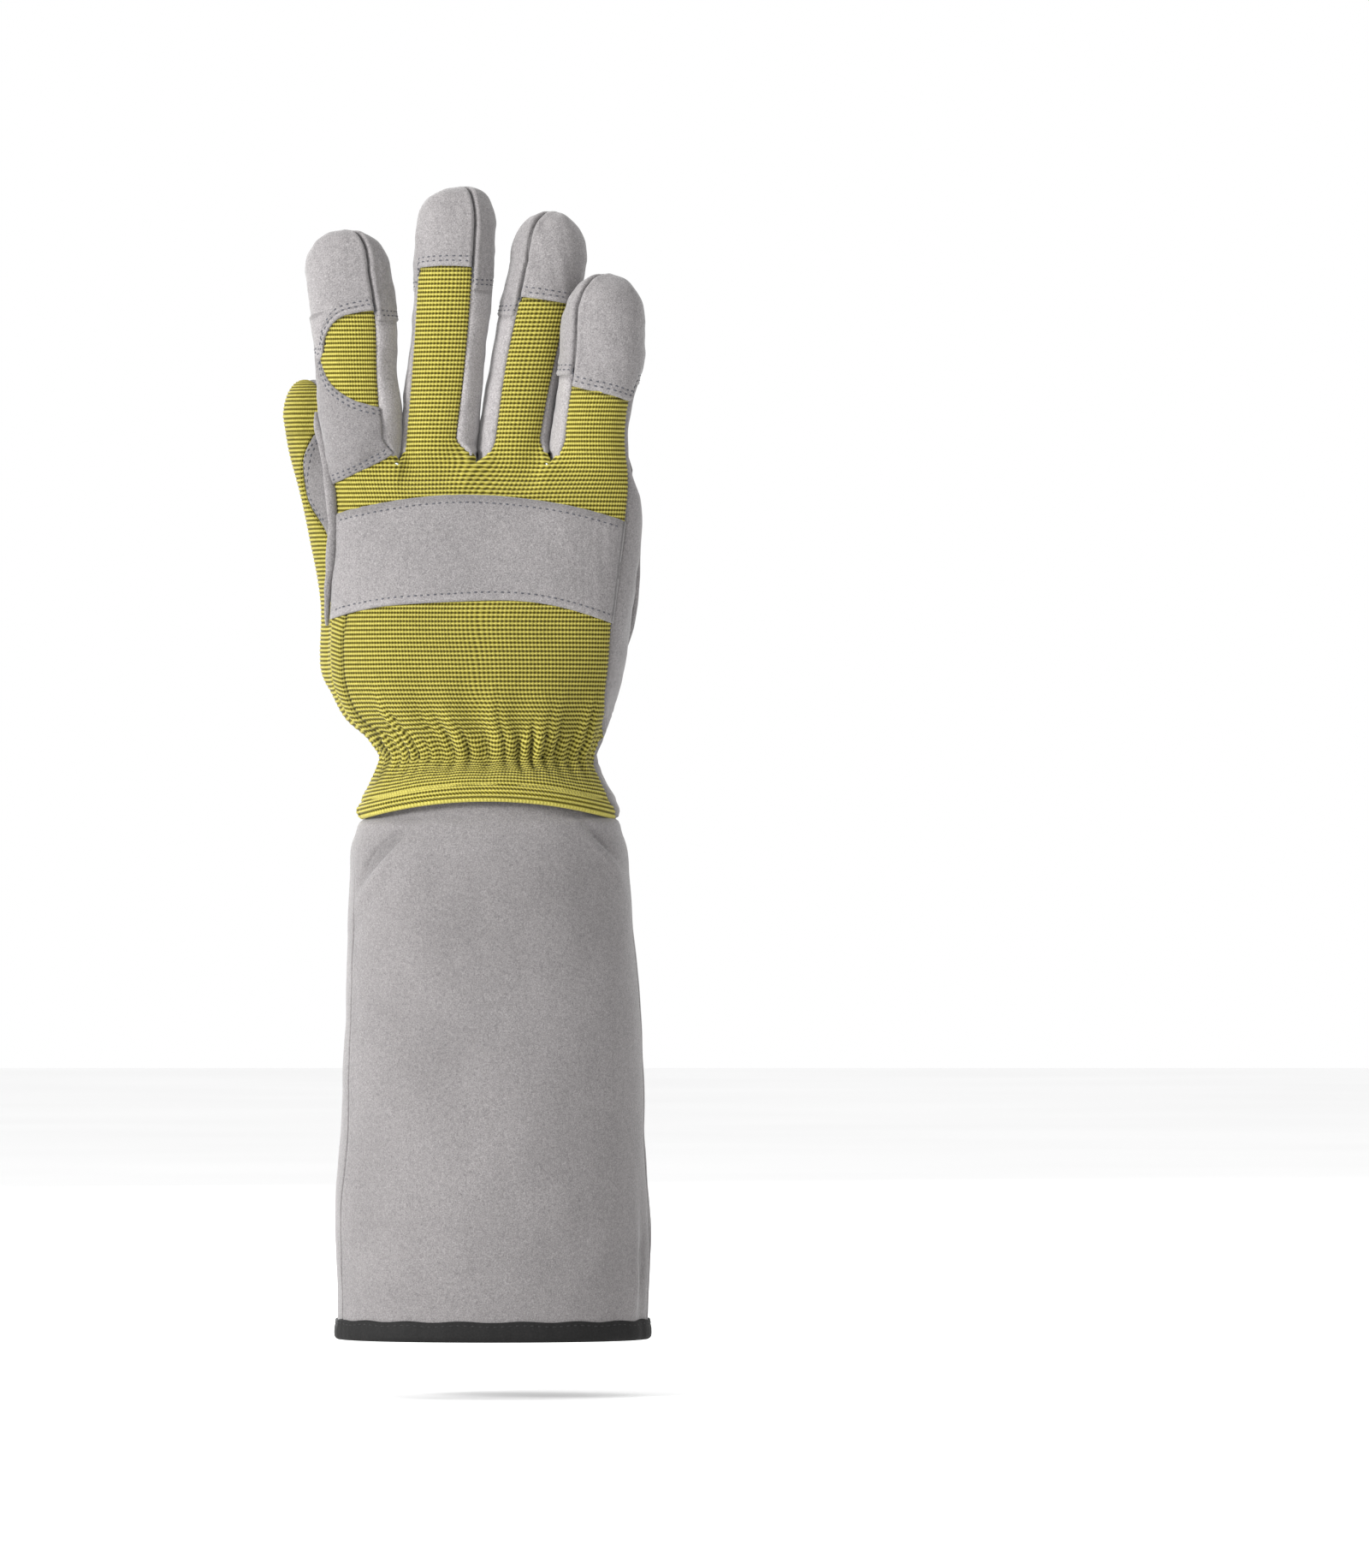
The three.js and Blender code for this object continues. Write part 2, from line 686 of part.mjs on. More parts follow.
// Panel round the side of the index finger, open where the ribbed back shows
const index = fingers[0]
const wrap_low = wrap_edge.map(spot)
const index_seam = sideLine(index, index.seam_right).slice(2, 5)
const wrap_outline = [
  [-far, wrap_low[0][1]],
  ...wrap_low,
  ...index_seam,
  [index_seam[index_seam.length - 1][0], far * 2],
  [-far, far * 2],
]
const window_spots = window_edge.map((row) => {
  const at = place(index, {
    mid: between(index.rows, 'up', row.up, 'mid'),
    wide: between(index.rows, 'up', row.up, 'wide'),
    up: row.up,
    out: 0,
    deep: 1,
  })
  return [at.mid_x + row.across * at.half_x, at.z]
})
const index_wrap = layer(wrap_wall, wrap_outline, -far, far)
  .subtract(alongY(window_spots))
  .subtract(cap_planes.index(gap))
  .intersect(behind(depthLine(index, 0), 0))
  .subtract(thumb_side_grown)

// Scalloped pad under the fingers
const pad_outline = pad_foot.map(spot)
for (const lobe of pad_lobes) {
  for (const turn of [1, 0.8, 0.3, -0.3, -0.8, -1]) {
    const rise = Math.sqrt(Math.max(0, 1 - turn * turn))
    pad_outline.push(spot({
      across: lobe.across + turn * lobe.half,
      up: lobe.valley + (lobe.peak - lobe.valley) * rise,
    }))
  }
}
const palm_pad = layer(pad_wall, pad_outline, 0.06 * palm_depth, far).subtract(finger(thumb, 3 * gap + pad_wall))

// Padded heel: a puffy patch laid on the palm
function palmSpot(turn, z, out) {
  const rows = palm_sections
  const at = (want) => between(rows, 'z', z, want)
  const [x, y] = oval((turn * Math.PI) / 180, at('half_x') + out, at('half_y') + out, at('square'))
  return [at('mid_x') + x, at('mid_y') + y, z]
}
const heel_mid = { turn: 62, up: 0.55 }
const heel_rings = [
  { share: 1, out: -1 },
  { share: 1, out: 0.42 },
  { share: 0.965, out: 0.62 },
  { share: 0.88, out: 0.86 },
  { share: 0.7, out: 0.98 },
  { share: 0.4, out: 1 },
]
const heel_points = heel_rings.map(({ share, out }) =>
  heel_rows.map((row) => {
    const turn = heel_mid.turn + share * (row.turn - heel_mid.turn)
    const up = heel_mid.up + share * (row.up - heel_mid.up)
    const lift = out < 0 ? -1 : gap + out * heel_pad_thickness
    return palmSpot(turn, gather_z + up * palm_length, lift)
  }),
)
const heel_low = palmSpot(heel_mid.turn, gather_z + heel_mid.up * palm_length, -1)
const heel_top = palmSpot(heel_mid.turn, gather_z + heel_mid.up * palm_length, gap + heel_pad_thickness)
const heel_pad = stack(heel_points.map((ring) => ring.reverse()), heel_low, heel_top).subtract(under)

// Sleeve and its binding
const cuff_sides = 28
function cuffRing(z, wide, deep, shift, off) {
  const ring = []
  const up = z / cuff_length
  for (let i = 0; i < cuff_sides; i++) {
    const turn = (2 * Math.PI * i) / cuff_sides
    const degrees = (360 * i) / cuff_sides
    let fold = 0
    for (const row of cuff_folds) {
      const away = degrees - row.turn
      const rise = (up - row.up - row.tilt * away) / row.tall
      fold += row.deep * Math.exp(-((away / row.reach) ** 2) - rise * rise)
    }
    const [x, y] = oval(turn, wide / 2 + off + fold, deep / 2 + off + fold, 2.1)
    ring.push([shift + x, y, z])
  }
  return ring
}
const hem_lift = binding_wall + gap
const tuck = [
  { z: cuff_length + 0.12 * tuck_rise, flare: 0.92 },
  { z: cuff_length + tuck_rise, flare: 0.35 },
]
function sleeve(off) {
  const rings = cuff_rows.map((row) =>
    cuffRing(
      hem_lift + row.up * (cuff_length - hem_lift),
      row.wide * hem_width,
      row.deep * hem_depth,
      row.shift * hem_width,
      off,
    ),
  )
  for (const row of tuck) {
    const inside = 2 * (row.flare * skirt_flare - cloth_wall - pleat_depth - gap)
    rings.push(cuffRing(row.z, wrist_width + inside, wrist_depth + inside, wrist_mid, off))
  }
  if (off < 0) {
    rings.unshift(rings[0].map(([x, y, z]) => [x, y, z - 4]))
    rings.push(rings[rings.length - 1].map(([x, y, z]) => [x, y, z + 4]))
  }
  const foot = rings[0][0][2]
  const head = rings[rings.length - 1][0][2]
  return stack(rings, [0, 0, foot], [wrist_mid, 0, head])
}
const cuff = sleeve(0).subtract(sleeve(-cuff_wall))

// Binding: a channel section, round at the foot, that wraps the hem inside and out
const hem = cuff_rows[0]
const channel = [
  { z: binding_height, off: gap },
  { z: binding_height * 0.9, off: gap + binding_wall },
  { z: 0.6 * binding_wall, off: gap + binding_wall },
  { z: 0, off: gap + 0.2 * binding_wall },
  { z: 0, off: -cuff_wall - gap - 0.2 * binding_wall },
  { z: 0.6 * binding_wall, off: -cuff_wall - gap - binding_wall },
  { z: binding_height * 0.9, off: -cuff_wall - gap - binding_wall },
  { z: binding_height, off: -cuff_wall - gap },
  { z: binding_wall, off: -cuff_wall - gap },
  { z: binding_wall, off: gap },
]
function bindingSolid() {
  const rings = channel.map(({ z, off }) =>
    cuffRing(0, hem.wide * hem_width, hem.deep * hem_depth, hem.shift * hem_width, off).map(([x, y]) => [x, y, z]),
  )
  const faces = []
  const count = cuff_sides
  for (let r = 0; r < rings.length; r++) {
    for (let i = 0; i < count; i++) {
      const a = r * count + i
      const b = r * count + ((i + 1) % count)
      const c = ((r + 1) % rings.length) * count + ((i + 1) % count)
      const d = ((r + 1) % rings.length) * count + i
      faces.push([a, c, b], [a, d, c])
    }
  }
  return solid(rings.flat(), faces)
}
const hem_binding = bindingSolid()

// Materials and nodes
const suede = new THREE.MeshStandardMaterial({ name: 'grey_suede', color: 0xa8a5a4, roughness: 0.95 })
const ribbed = new THREE.MeshStandardMaterial({ name: 'olive_ribbed', color: 0xa89c4a, roughness: 0.9 })
const black = new THREE.MeshStandardMaterial({ name: 'black_binding', color: 0x2c2b2b, roughness: 0.9 })

const group = new THREE.Group()
group.name = 'rose_gauntlet'
function piece(name, body, material) {
  const mesh = body.getMesh()
  const geometry = new THREE.BufferGeometry()
  const points = []
  for (let i = 0; i < mesh.vertProperties.length; i += mesh.numProp) {
    points.push(mesh.vertProperties[i], mesh.vertProperties[i + 1], mesh.vertProperties[i + 2])
  }
  geometry.setAttribute('position', new THREE.Float32BufferAttribute(points, 3))
  geometry.setIndex([...mesh.triVerts])
  const node = new THREE.Mesh(geometry, material)
  node.name = name
  group.add(node)
}

piece('cuff', cuff, suede)
piece('hem_binding', hem_binding, black)
piece('back_panel', back_panel, ribbed)
piece('palm_suede', palm_suede, suede)
piece('thumb_back', thumb_back, ribbed)
piece('thumb_palm', thumb_palm, suede)
piece('index_middle_gusset', gussets[0], suede)
piece('middle_ring_gusset', gussets[1], suede)
piece('ring_little_gusset', gussets[2], suede)
for (const f of fingers) {
  piece(f.name + '_cap', caps[f.name], suede)
}
piece('index_wrap', index_wrap, suede)
piece('knuckle_strap', knuckle_strap, suede)
piece('palm_pad', palm_pad, suede)
piece('heel_pad', heel_pad, suede)

export default group
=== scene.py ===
import math

import bpy
import numpy as np
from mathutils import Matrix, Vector
from mathutils.kdtree import KDTree


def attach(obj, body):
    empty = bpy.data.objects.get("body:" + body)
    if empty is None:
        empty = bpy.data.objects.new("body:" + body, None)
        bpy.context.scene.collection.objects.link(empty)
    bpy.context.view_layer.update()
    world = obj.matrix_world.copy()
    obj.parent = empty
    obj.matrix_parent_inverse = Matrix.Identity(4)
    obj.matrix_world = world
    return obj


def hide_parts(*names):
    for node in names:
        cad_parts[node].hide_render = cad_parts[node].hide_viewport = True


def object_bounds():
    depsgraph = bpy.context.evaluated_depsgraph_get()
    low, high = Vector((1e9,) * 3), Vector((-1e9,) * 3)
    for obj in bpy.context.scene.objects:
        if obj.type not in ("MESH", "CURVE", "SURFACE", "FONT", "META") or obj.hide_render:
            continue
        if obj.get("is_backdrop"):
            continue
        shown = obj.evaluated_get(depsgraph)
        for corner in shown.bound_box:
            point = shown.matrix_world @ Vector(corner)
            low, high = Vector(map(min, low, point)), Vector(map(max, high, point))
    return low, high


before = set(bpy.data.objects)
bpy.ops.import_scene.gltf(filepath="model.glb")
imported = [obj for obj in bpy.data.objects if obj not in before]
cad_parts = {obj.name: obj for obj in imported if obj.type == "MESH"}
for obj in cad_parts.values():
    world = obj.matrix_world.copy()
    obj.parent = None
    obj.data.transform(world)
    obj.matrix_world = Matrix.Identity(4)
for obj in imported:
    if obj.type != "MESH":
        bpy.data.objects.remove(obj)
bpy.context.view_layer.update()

# Rose pruning gauntlet for the right hand. Tables are in millimetres, as in the CAD source,
# and turn to metres when a mesh is made. Back of the hand -Y, palm +Y, thumb -X, fingers up.
rng = np.random.default_rng(7)
RAD = math.pi / 180

# Camera and view transform
cam = bpy.data.cameras.new("camera")
cam.lens = 390
cam.sensor_width = 36
cam.sensor_fit = "HORIZONTAL"
cam.clip_end = 20
cam.dof.use_dof = False
eye = bpy.data.objects.new("camera", cam)
bpy.context.scene.collection.objects.link(eye)
eye.location = (0.0675, -5.2, 0.1945)
eye.rotation_euler = (math.pi / 2, 0, 0)
bpy.context.scene.camera = eye
bpy.context.scene.view_settings.view_transform = "Standard"

# Sizes, from the CAD source
cuff_length, hem_width, hem_depth = 183, 112, 78
binding_height = 7.2
skirt_height, skirt_flare, skirt_arch = 21, 6.9, 6.2
wrist_width, wrist_depth = 76.5, 53
wrist_x = -0.018 * wrist_width
palm_length, palm_width, palm_depth = 103, 108, 58
finger_depth = 22
gather_z = cuff_length + skirt_height
web_z = gather_z + palm_length
thumb_z = gather_z + palm_length * 0.097
skirt_foot = 183.2
FINE, WIDE = 0.375, 0.9  # gap between the rows of a grid of ribbed cloth and of suede

palm_rows = [  # up, thumb side, little side, back, front, square
    (0.06, -0.396, 0.356, -0.462, 0.462, 2.15), (0.136, -0.472, 0.384, -0.47, 0.5, 2.2),
    (0.233, -0.519, 0.412, -0.462, 0.53, 2.25), (0.35, -0.536, 0.44, -0.438, 0.54, 2.3),
    (0.476, -0.533, 0.461, -0.412, 0.505, 2.35), (0.62, -0.519, 0.468, -0.379, 0.44, 2.4),
    (0.767, -0.513, 0.481, -0.325, 0.36, 2.45), (0.893, -0.523, 0.481, -0.277, 0.285, 2.5),
    (0.955, -0.53, 0.47, -0.238, 0.225, 2.5), (1.0, -0.53, 0.46, -0.215, 0.185, 2.5),
    (1.2, -0.53, 0.46, -0.215, 0.185, 2.5)]
skirt_rows = [  # share of skirt height, flare, arch
    (-0.2, 1.0, 1.0), (0.0, 1.0, 1.0), (0.12, 1.02, 1.0), (0.26, 0.95, 1.0), (0.55, 0.5, 0.7),
    (0.85, 0.08, 0.15), (1.0, 0.0, 0.0)]
FINGERS = [  # rows: up, mid, wide, out, deep
    dict(name="index", length=81, width=30.6, root=-0.417, left=-1.0, right=0.52, dome=0.173, skew=-0.01,
        rows=[
        (-0.09, 0, 0.76, -0.09, 0.86), (0.099, -0.01, 0.86, -0.09, 1), (0.21, -0.035, 0.885, -0.05, 0.98),
        (0.37, -0.065, 0.895, 0, 0.96), (0.63, -0.103, 0.95, 0.1, 1), (0.827, -0.183, 0.935, 0.23, 0.96)],
        edge=dict(back=[(180, 345), (213, 345.4), (220.5, 349.8), (232, 353.6), (249, 357.2), (272, 359.3),
                        (299, 360.3)],
                  right=356.6, front=[(20, 362), (60, 367), (90, 366), (130, 364), (165, 362)], left=346)),
    dict(name="middle", length=96.5, width=27, root=-0.178, left=-0.93, right=0.5, dome=0.134, skew=0.11,
        rows=[
        (-0.075, -0.005, 0.9, -0.06, 0.86), (0.08, 0.03, 0.93, -0.05, 1), (0.3, 0.11, 0.97, 0.05, 0.97),
        (0.632, 0.2, 1, 0.26, 1), (0.866, 0.244, 0.978, 0.43, 0.93)],
        edge=dict(back=[(200, 375.4), (270, 376), (300, 375.6)], right=367.6,
                  front=[(20, 370), (90, 372), (160, 371)], left=367)),
    dict(name="ring", length=87.5, width=27.5, root=0.063, left=-0.56, right=0.78, dome=0.189, skew=0.04,
        rows=[
        (-0.08, 0, 0.84, -0.05, 0.86), (0.09, 0.04, 0.88, 0, 1), (0.206, 0.09, 0.9, 0.05, 0.98),
        (0.41, 0.2, 0.955, 0.2, 0.95), (0.6, 0.33, 0.965, 0.32, 0.96), (0.811, 0.469, 0.924, 0.42, 0.95)],
        edge=dict(back=[(220, 366), (270, 364.3), (320, 362.6)], right=360.6,
                  front=[(20, 358), (90, 359), (160, 361)], left=358.6)),
    dict(name="little", length=65, width=28, root=0.324, left=-0.66, right=0.93, dome=0.242, skew=0.035,
        rows=[
        (-0.1, 0, 0.95, -0.14, 0.86), (0.17, -0.02, 0.96, -0.17, 1), (0.31, 0.02, 0.96, -0.19, 0.98),
        (0.477, 0.105, 1.02, -0.23, 0.97), (0.754, 0.15, 0.99, -0.24, 0.95)],
        edge=dict(back=[(225, 334.2), (270, 331.6), (325, 328.6)], right=334,
                  front=[(20, 339), (90, 342), (160, 343)], left=337.4))]
THUMB = dict(name="thumb", length=123, width=31.5, root=-0.463, dome=0.106, skew=-0.1, rows=[
    (0.0, 0.468, 0.95, 0.27, 1.1), (0.09, 0.412, 1.38, 0.46, 1.38), (0.21, 0.43, 1.54, 0.63, 1.48),
    (0.36, 0.39, 1.43, 0.79, 1.46), (0.577, 0.111, 1.175, 1.02, 1.19), (0.7, -0.087, 1.0, 1.15, 1),
    (0.797, -0.254, 0.89, 1.21, 0.93), (0.894, -0.405, 0.715, 1.26, 0.83)])
cuff_rows = [  # height, shift, width, depth
    (0, 0.003, 0.972, 0.972), (0.17, 0.005, 0.992, 0.992), (0.43, 0.005, 0.943, 0.955),
    (0.63, 0.004, 0.914, 0.93), (0.78, -0.004, 0.89, 0.905), (0.88, -0.009, 0.876, 0.88),
    (0.955, -0.014, 0.846, 0.85)]
little_seam = [(-0.4, 0.48), (-0.19, 0.4), (0, 0.338), (0.1, 0.366), (0.2, 0.369), (0.3, 0.381),
               (0.47, 0.392), (0.79, 0.433), (0.98, 0.447), (1.2, 0.447)]
root_seam = [(-0.4, -0.074), (0.03, -0.106), (0.2, -0.136), (0.26, -0.1), (0.65, -0.083), (0.79, -0.13),
             (0.9, -0.18), (1.2, -0.3)]
side_seam = [(0.2, -0.136), (0.27, -0.2), (0.44, -0.27), (0.68, -0.37), (1.0, -0.5),
             (1.17, -0.6), (1.4, -0.68)]
strip_line = [(0.70, -0.53), (0.777, -0.551), (0.854, -0.597), (0.932, -0.62), (1.03, -0.616),
              (1.136, -0.567), (1.22, -0.54), (1.37, -0.52)]


# Curves and sections
def step(low, high, x):
    t = np.clip((np.asarray(x, float) - low) / (high - low), 0, 1)
    return t * t * (3 - 2 * t)


def hump(x, wide):
    """Bell of height 1 round zero."""
    return np.exp(-((x / wide) ** 2))


def unit(v, least=0.0):
    return v / (np.linalg.norm(v, axis=1, keepdims=True) + least)


def run(path):
    """Length run along a path at each of its points."""
    return np.concatenate([[0], np.cumsum(np.linalg.norm(np.diff(path, axis=0), axis=1))])


def closed(path):
    return np.concatenate([path, path[:1]])


def curve(xs, ys, x):
    """Smooth reading of a table."""
    xs, ys = np.asarray(xs, float), np.asarray(ys, float)
    x = np.clip(np.asarray(x, float), xs[0], xs[-1])
    h = np.diff(xs)
    d = np.diff(ys) / h
    m = np.empty_like(ys)
    m[0], m[-1] = d[0], d[-1]
    m[1:-1] = (h[1:] * d[:-1] + h[:-1] * d[1:]) / (h[1:] + h[:-1])
    i = np.clip(np.searchsorted(xs, x, side="right") - 1, 0, len(xs) - 2)
    t = (x - xs[i]) / h[i]
    return ((2 * t**3 - 3 * t**2 + 1) * ys[i] + (t**3 - 2 * t**2 + t) * h[i] * m[i]
            + (3 * t**2 - 2 * t**3) * ys[i + 1] + (t**3 - t**2) * h[i] * m[i + 1])


def line(table, z):
    return curve([gather_z + r[0] * palm_length for r in table], [r[1] * palm_width for r in table], z)


# sections of the skirt and the palm: height, middle, half width, middle, half depth, square, arch
PALM = [(cuff_length + up * skirt_height, wrist_x, wrist_width / 2 + out * skirt_flare, 0,
         wrist_depth / 2 + out * skirt_flare, 2.1, arch) for up, out, arch in skirt_rows]
PALM += [(gather_z + up * palm_length, (a + b) / 2 * palm_width, (b - a) / 2 * palm_width,
          (c + d) / 2 * palm_depth, (d - c) / 2 * palm_depth, square, 0)
         for up, a, b, c, d, square in palm_rows]
PALM = list(zip(*PALM))


def palm_at(z):
    return [curve(PALM[0], column, z) for column in PALM[1:6]]


def arch_at(z):
    return curve(PALM[0], PALM[6], z) * skirt_arch


def oval(turn, hx, hy, p):
    c, s = np.cos(turn), np.sin(turn)
    return np.sign(c) * hx * np.abs(c) ** (2 / p), np.sign(s) * hy * np.abs(s) ** (2 / p)


def palm(turn, z):
    mx, hx, my, hy, p = palm_at(z)
    x, y = oval(turn, hx, hy, p)
    return np.stack(np.broadcast_arrays(mx + x, my + y, z + arch_at(z) * np.sin(turn) ** 2), -1)


def palm_turn(x, z, back):
    """Turn on the palm section where its surface stands at x."""
    mx, hx, _, _, p = palm_at(z)
    share = np.clip((x - mx) / hx, -1, 1)
    a = np.arccos(np.sign(share) * np.abs(share) ** (p / 2))
    return 2 * np.pi - a if back else a


def tube(f, z):
    base = thumb_z if f is THUMB else web_z
    deep = 26 if f is THUMB else finger_depth
    rows = f["rows"]
    zs = [base + r[0] * f["length"] for r in rows]
    cols = [[f["root"] * palm_width + r[1] * f["width"] for r in rows], [r[2] * f["width"] / 2 for r in rows],
            [r[3] * deep for r in rows], [r[4] * deep / 2 for r in rows]]
    last = zs[-1]
    out = [curve(zs, c, z) for c in cols]
    high = f["dome"] * f["length"]
    phi = np.clip((np.asarray(z, float) - last) / high, 0, 1) * (np.pi / 2)
    c = np.cos(phi) ** 0.82
    top = np.where(z > last, last + high * np.sin(phi), z)
    return out[0] + f["skew"] * f["width"] * (1 - c), out[1] * c, out[2], out[3] * c, top


def finger(f, turn, z):
    mx, hx, my, hy, top = tube(f, z)
    x, y = oval(turn, hx, hy, 2.2)
    return np.stack(np.broadcast_arrays(mx + x, my + y, top + 0 * x), -1)


def seam_turn(share, back=True):
    a = math.acos(math.copysign(abs(share) ** 1.1, share))
    return 2 * math.pi - a if back else a


FRONT = 24.5 * RAD
WEB_X = []
for f, g in zip(FINGERS, FINGERS[1:]):
    a, b = tube(f, web_z), tube(g, web_z)
    WEB_X.append(float(a[0] + a[1] + b[0] - b[1]) / 2)


# Noise and displacement
def waves(p, scale, seed, octaves=3):
    """Smooth noise in -1..1 from a few sine waves, p in mm."""
    r = np.random.default_rng(seed)
    total = np.zeros(p.shape[:-1])
    weight = 0
    for o in range(octaves):
        for _ in range(5):
            k = r.normal(size=3)
            k *= 2 * np.pi / (scale / 1.9**o) / np.linalg.norm(k)
            total += np.sin(p @ k + r.uniform(0, 6.28)) * 0.6**o
            weight += 0.6 ** (2 * o)
    return total / math.sqrt(weight) / 1.2


def normals(v, faces):
    n = np.zeros_like(v)
    a, b, c, d = (v[faces[:, i]] for i in range(4))
    fn = np.cross(c - a, d - b)
    for i in range(4):
        np.add.at(n, faces[:, i], fn)
    return n / np.maximum(np.linalg.norm(n, axis=1, keepdims=True), 1e-9)


def rim_edges(faces):
    e = np.concatenate([faces[:, [i, (i + 1) % 4]] for i in range(4)])
    e = e[e[:, 0] != e[:, 1]]
    key = np.minimum(e[:, 0], e[:, 1]) * (faces.max() + 1) + np.maximum(e[:, 0], e[:, 1])
    _, first, count = np.unique(key, return_index=True, return_counts=True)
    return e[first[count == 1]]


def tree_of(points):
    tree = KDTree(len(points))
    for i, p in enumerate(points):
        tree.insert(p, i)
    tree.balance()
    return tree


def near(points, targets):
    """Distance from each point to the nearest target."""
    tree = tree_of(targets)
    return np.array([tree.find(p)[2] for p in points])


PIECES = {}


def make(name, verts, faces, material, attrs=None, node=None):
    mesh = bpy.data.meshes.new(name)
    faces = np.asarray(faces)
    sizes = np.full(len(faces), faces.shape[1])
    flat = faces.ravel()
    if faces.shape[1] == 4:
        tri = faces[:, 3] == faces[:, 2]
        sizes[tri] = 3
        keep = np.ones_like(faces, bool)
        keep[tri, 3] = False
        flat = faces[keep]
    mesh.vertices.add(len(verts))
    mesh.vertices.foreach_set("co", (np.asarray(verts) / 1000).ravel())
    mesh.loops.add(len(flat))
    mesh.loops.foreach_set("vertex_index", flat.astype(np.int32))
    mesh.polygons.add(len(faces))
    mesh.polygons.foreach_set("loop_start", np.concatenate([[0], np.cumsum(sizes)[:-1]]).astype(np.int32))
    mesh.polygons.foreach_set("use_smooth", np.ones(len(faces), bool))
    for key, values in (attrs or {}).items():
        layer = mesh.attributes.new(key, "FLOAT", "POINT")
        layer.data.foreach_set("value", np.asarray(values, np.float32))
    mesh.update(calc_edges=True)
    mesh.validate()
    mesh.materials.append(material)
    obj = bpy.data.objects.new(name, mesh)
    bpy.context.scene.collection.objects.link(obj)
    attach(obj, "root")
    if node:
        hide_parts(node)
    return obj


def flipped(faces):
    """Faces turned over; a triangle keeps its doubled corner last."""
    faces = faces[:, ::-1]
    return np.where(faces[:, :1] == faces[:, 1:2], faces[:, [2, 3, 0, 1]], faces)


class Sewn:
    """A finished piece that stitches can be laid on."""

    def __init__(self, name, outer, faces, obj):
        self.outer, self.normal, self.obj = outer, normals(outer, faces), obj
        self.tree = tree_of(outer)
        PIECES[name] = self

    def settle(self, path):
        """Path points moved onto the outer side, with the normals there."""
        places, ns = [], []
        for p in path:
            _, i, _ = self.tree.find(p)
            n = self.normal[i]
            places.append(p - n * np.dot(p - self.outer[i], n))
            ns.append(n)
        return np.array(places), np.array(ns)


class Cloth(Sewn):
    """A sheet of cloth laid on the hand: outer side, turned-in edge and inner side."""

    def __init__(self, name, verts, faces, material, outward, wall=1.2, lift=0.0, relief=None, grooves=(),
                 groove_depth=0.35, groove_wide=0.9, edge=0.9, edge_drop=0.7, attrs=None):
        used, faces = np.unique(faces, return_inverse=True)
        faces = faces.reshape(-1, 4)
        verts = verts[used]
        n = normals(verts, faces)
        if np.sum(n * (verts - (outward[used] if outward.ndim == 2 else outward))) < 0:
            faces, n = flipped(faces), -n
        rim = rim_edges(faces)
        t = np.clip(1 - near(verts, verts[np.unique(rim)]) / edge, 0, 1)
        base = lift - edge_drop * (1 - np.sqrt(1 - t * t))
        if len(grooves):
            base -= groove_depth * hump(near(verts, np.concatenate(grooves)), groove_wide)
        outer = verts + n * (base + relief[used])[:, None]
        inner = verts + n * (np.minimum(base, lift + 0.2) - wall)[:, None]
        count = len(verts)
        sides = np.stack([rim[:, 1], rim[:, 0], rim[:, 0] + count, rim[:, 1] + count], 1)
        every = np.concatenate([faces, flipped(faces) + count, sides])
        data = {k: np.concatenate([a[used], a[used]]) for k, a in (attrs or {}).items()}
        both = np.concatenate([outer, inner])
        super().__init__(name, outer, faces, make(name + "_cloth", both, every, material, data, name))


def grid_faces(rows, cols, keep=None, wrap=False, index=None):
    index = np.arange(rows * cols).reshape(rows, cols) if index is None else index
    a, b = index[:-1, :], index[1:, :]
    if wrap:
        a2, b2 = np.roll(a, -1, 1), np.roll(b, -1, 1)
    else:
        a2, b2, a, b = a[:, 1:], b[:, 1:], a[:, :-1], b[:, :-1]
    f = np.stack([a, a2, b2, b], -1)
    return f[keep] if keep is not None else f.reshape(-1, 4)


def along(path, gap=0.5):
    """Path resampled to even spacing."""
    path = np.asarray(path, float)
    s = run(path)
    at = np.linspace(0, s[-1], max(2, int(round(s[-1] / gap)) + 1))
    return np.stack([np.interp(at, s, path[:, i]) for i in range(3)], 1)


# Materials
def nodes_of(name):
    mat = bpy.data.materials.new(name)
    mat.use_nodes = True
    t = mat.node_tree
    return mat, t, t.nodes["Principled BSDF"]


def node(t, kind, **values):
    n = t.nodes.new(kind)
    for k, v in values.items():
        if k in n.bl_rna.properties:
            setattr(n, k, v)
        else:
            n.inputs[k.replace("_", " ")].default_value = v
    return n


def ramp(t, source, stops):
    """Colour ramp; a stop's colour is one grey or three parts."""
    n = node(t, "ShaderNodeValToRGB")
    while len(n.color_ramp.elements) < len(stops):
        n.color_ramp.elements.new(0.5)
    for e, (at, colour) in zip(n.color_ramp.elements, stops):
        e.position = at
        e.color = (*(colour if isinstance(colour, tuple) else (colour,) * 3), 1)
    t.links.new(source, n.inputs["Fac"])
    return n.outputs["Color"]


def rgb(r, g, b):
    return tuple(((c / 255 + 0.055) / 1.055) ** 2.4 for c in (r, g, b))


def multiplied(t, *colours):
    """Product of colours."""
    product = colours[0]
    for c in colours[1:]:
        n = node(t, "ShaderNodeMix", data_type="RGBA", blend_type="MULTIPLY")
        n.inputs[0].default_value = 1.0
        t.links.new(product, n.inputs[6])
        t.links.new(c, n.inputs[7])
        product = n.outputs[2]
    return product


def math_node(t, operation, *values):
    n = node(t, "ShaderNodeMath", operation=operation)
    for socket, v in zip(n.inputs, values):
        if isinstance(v, float):
            socket.default_value = v
        else:
            t.links.new(v, socket)
    return n.outputs[0]


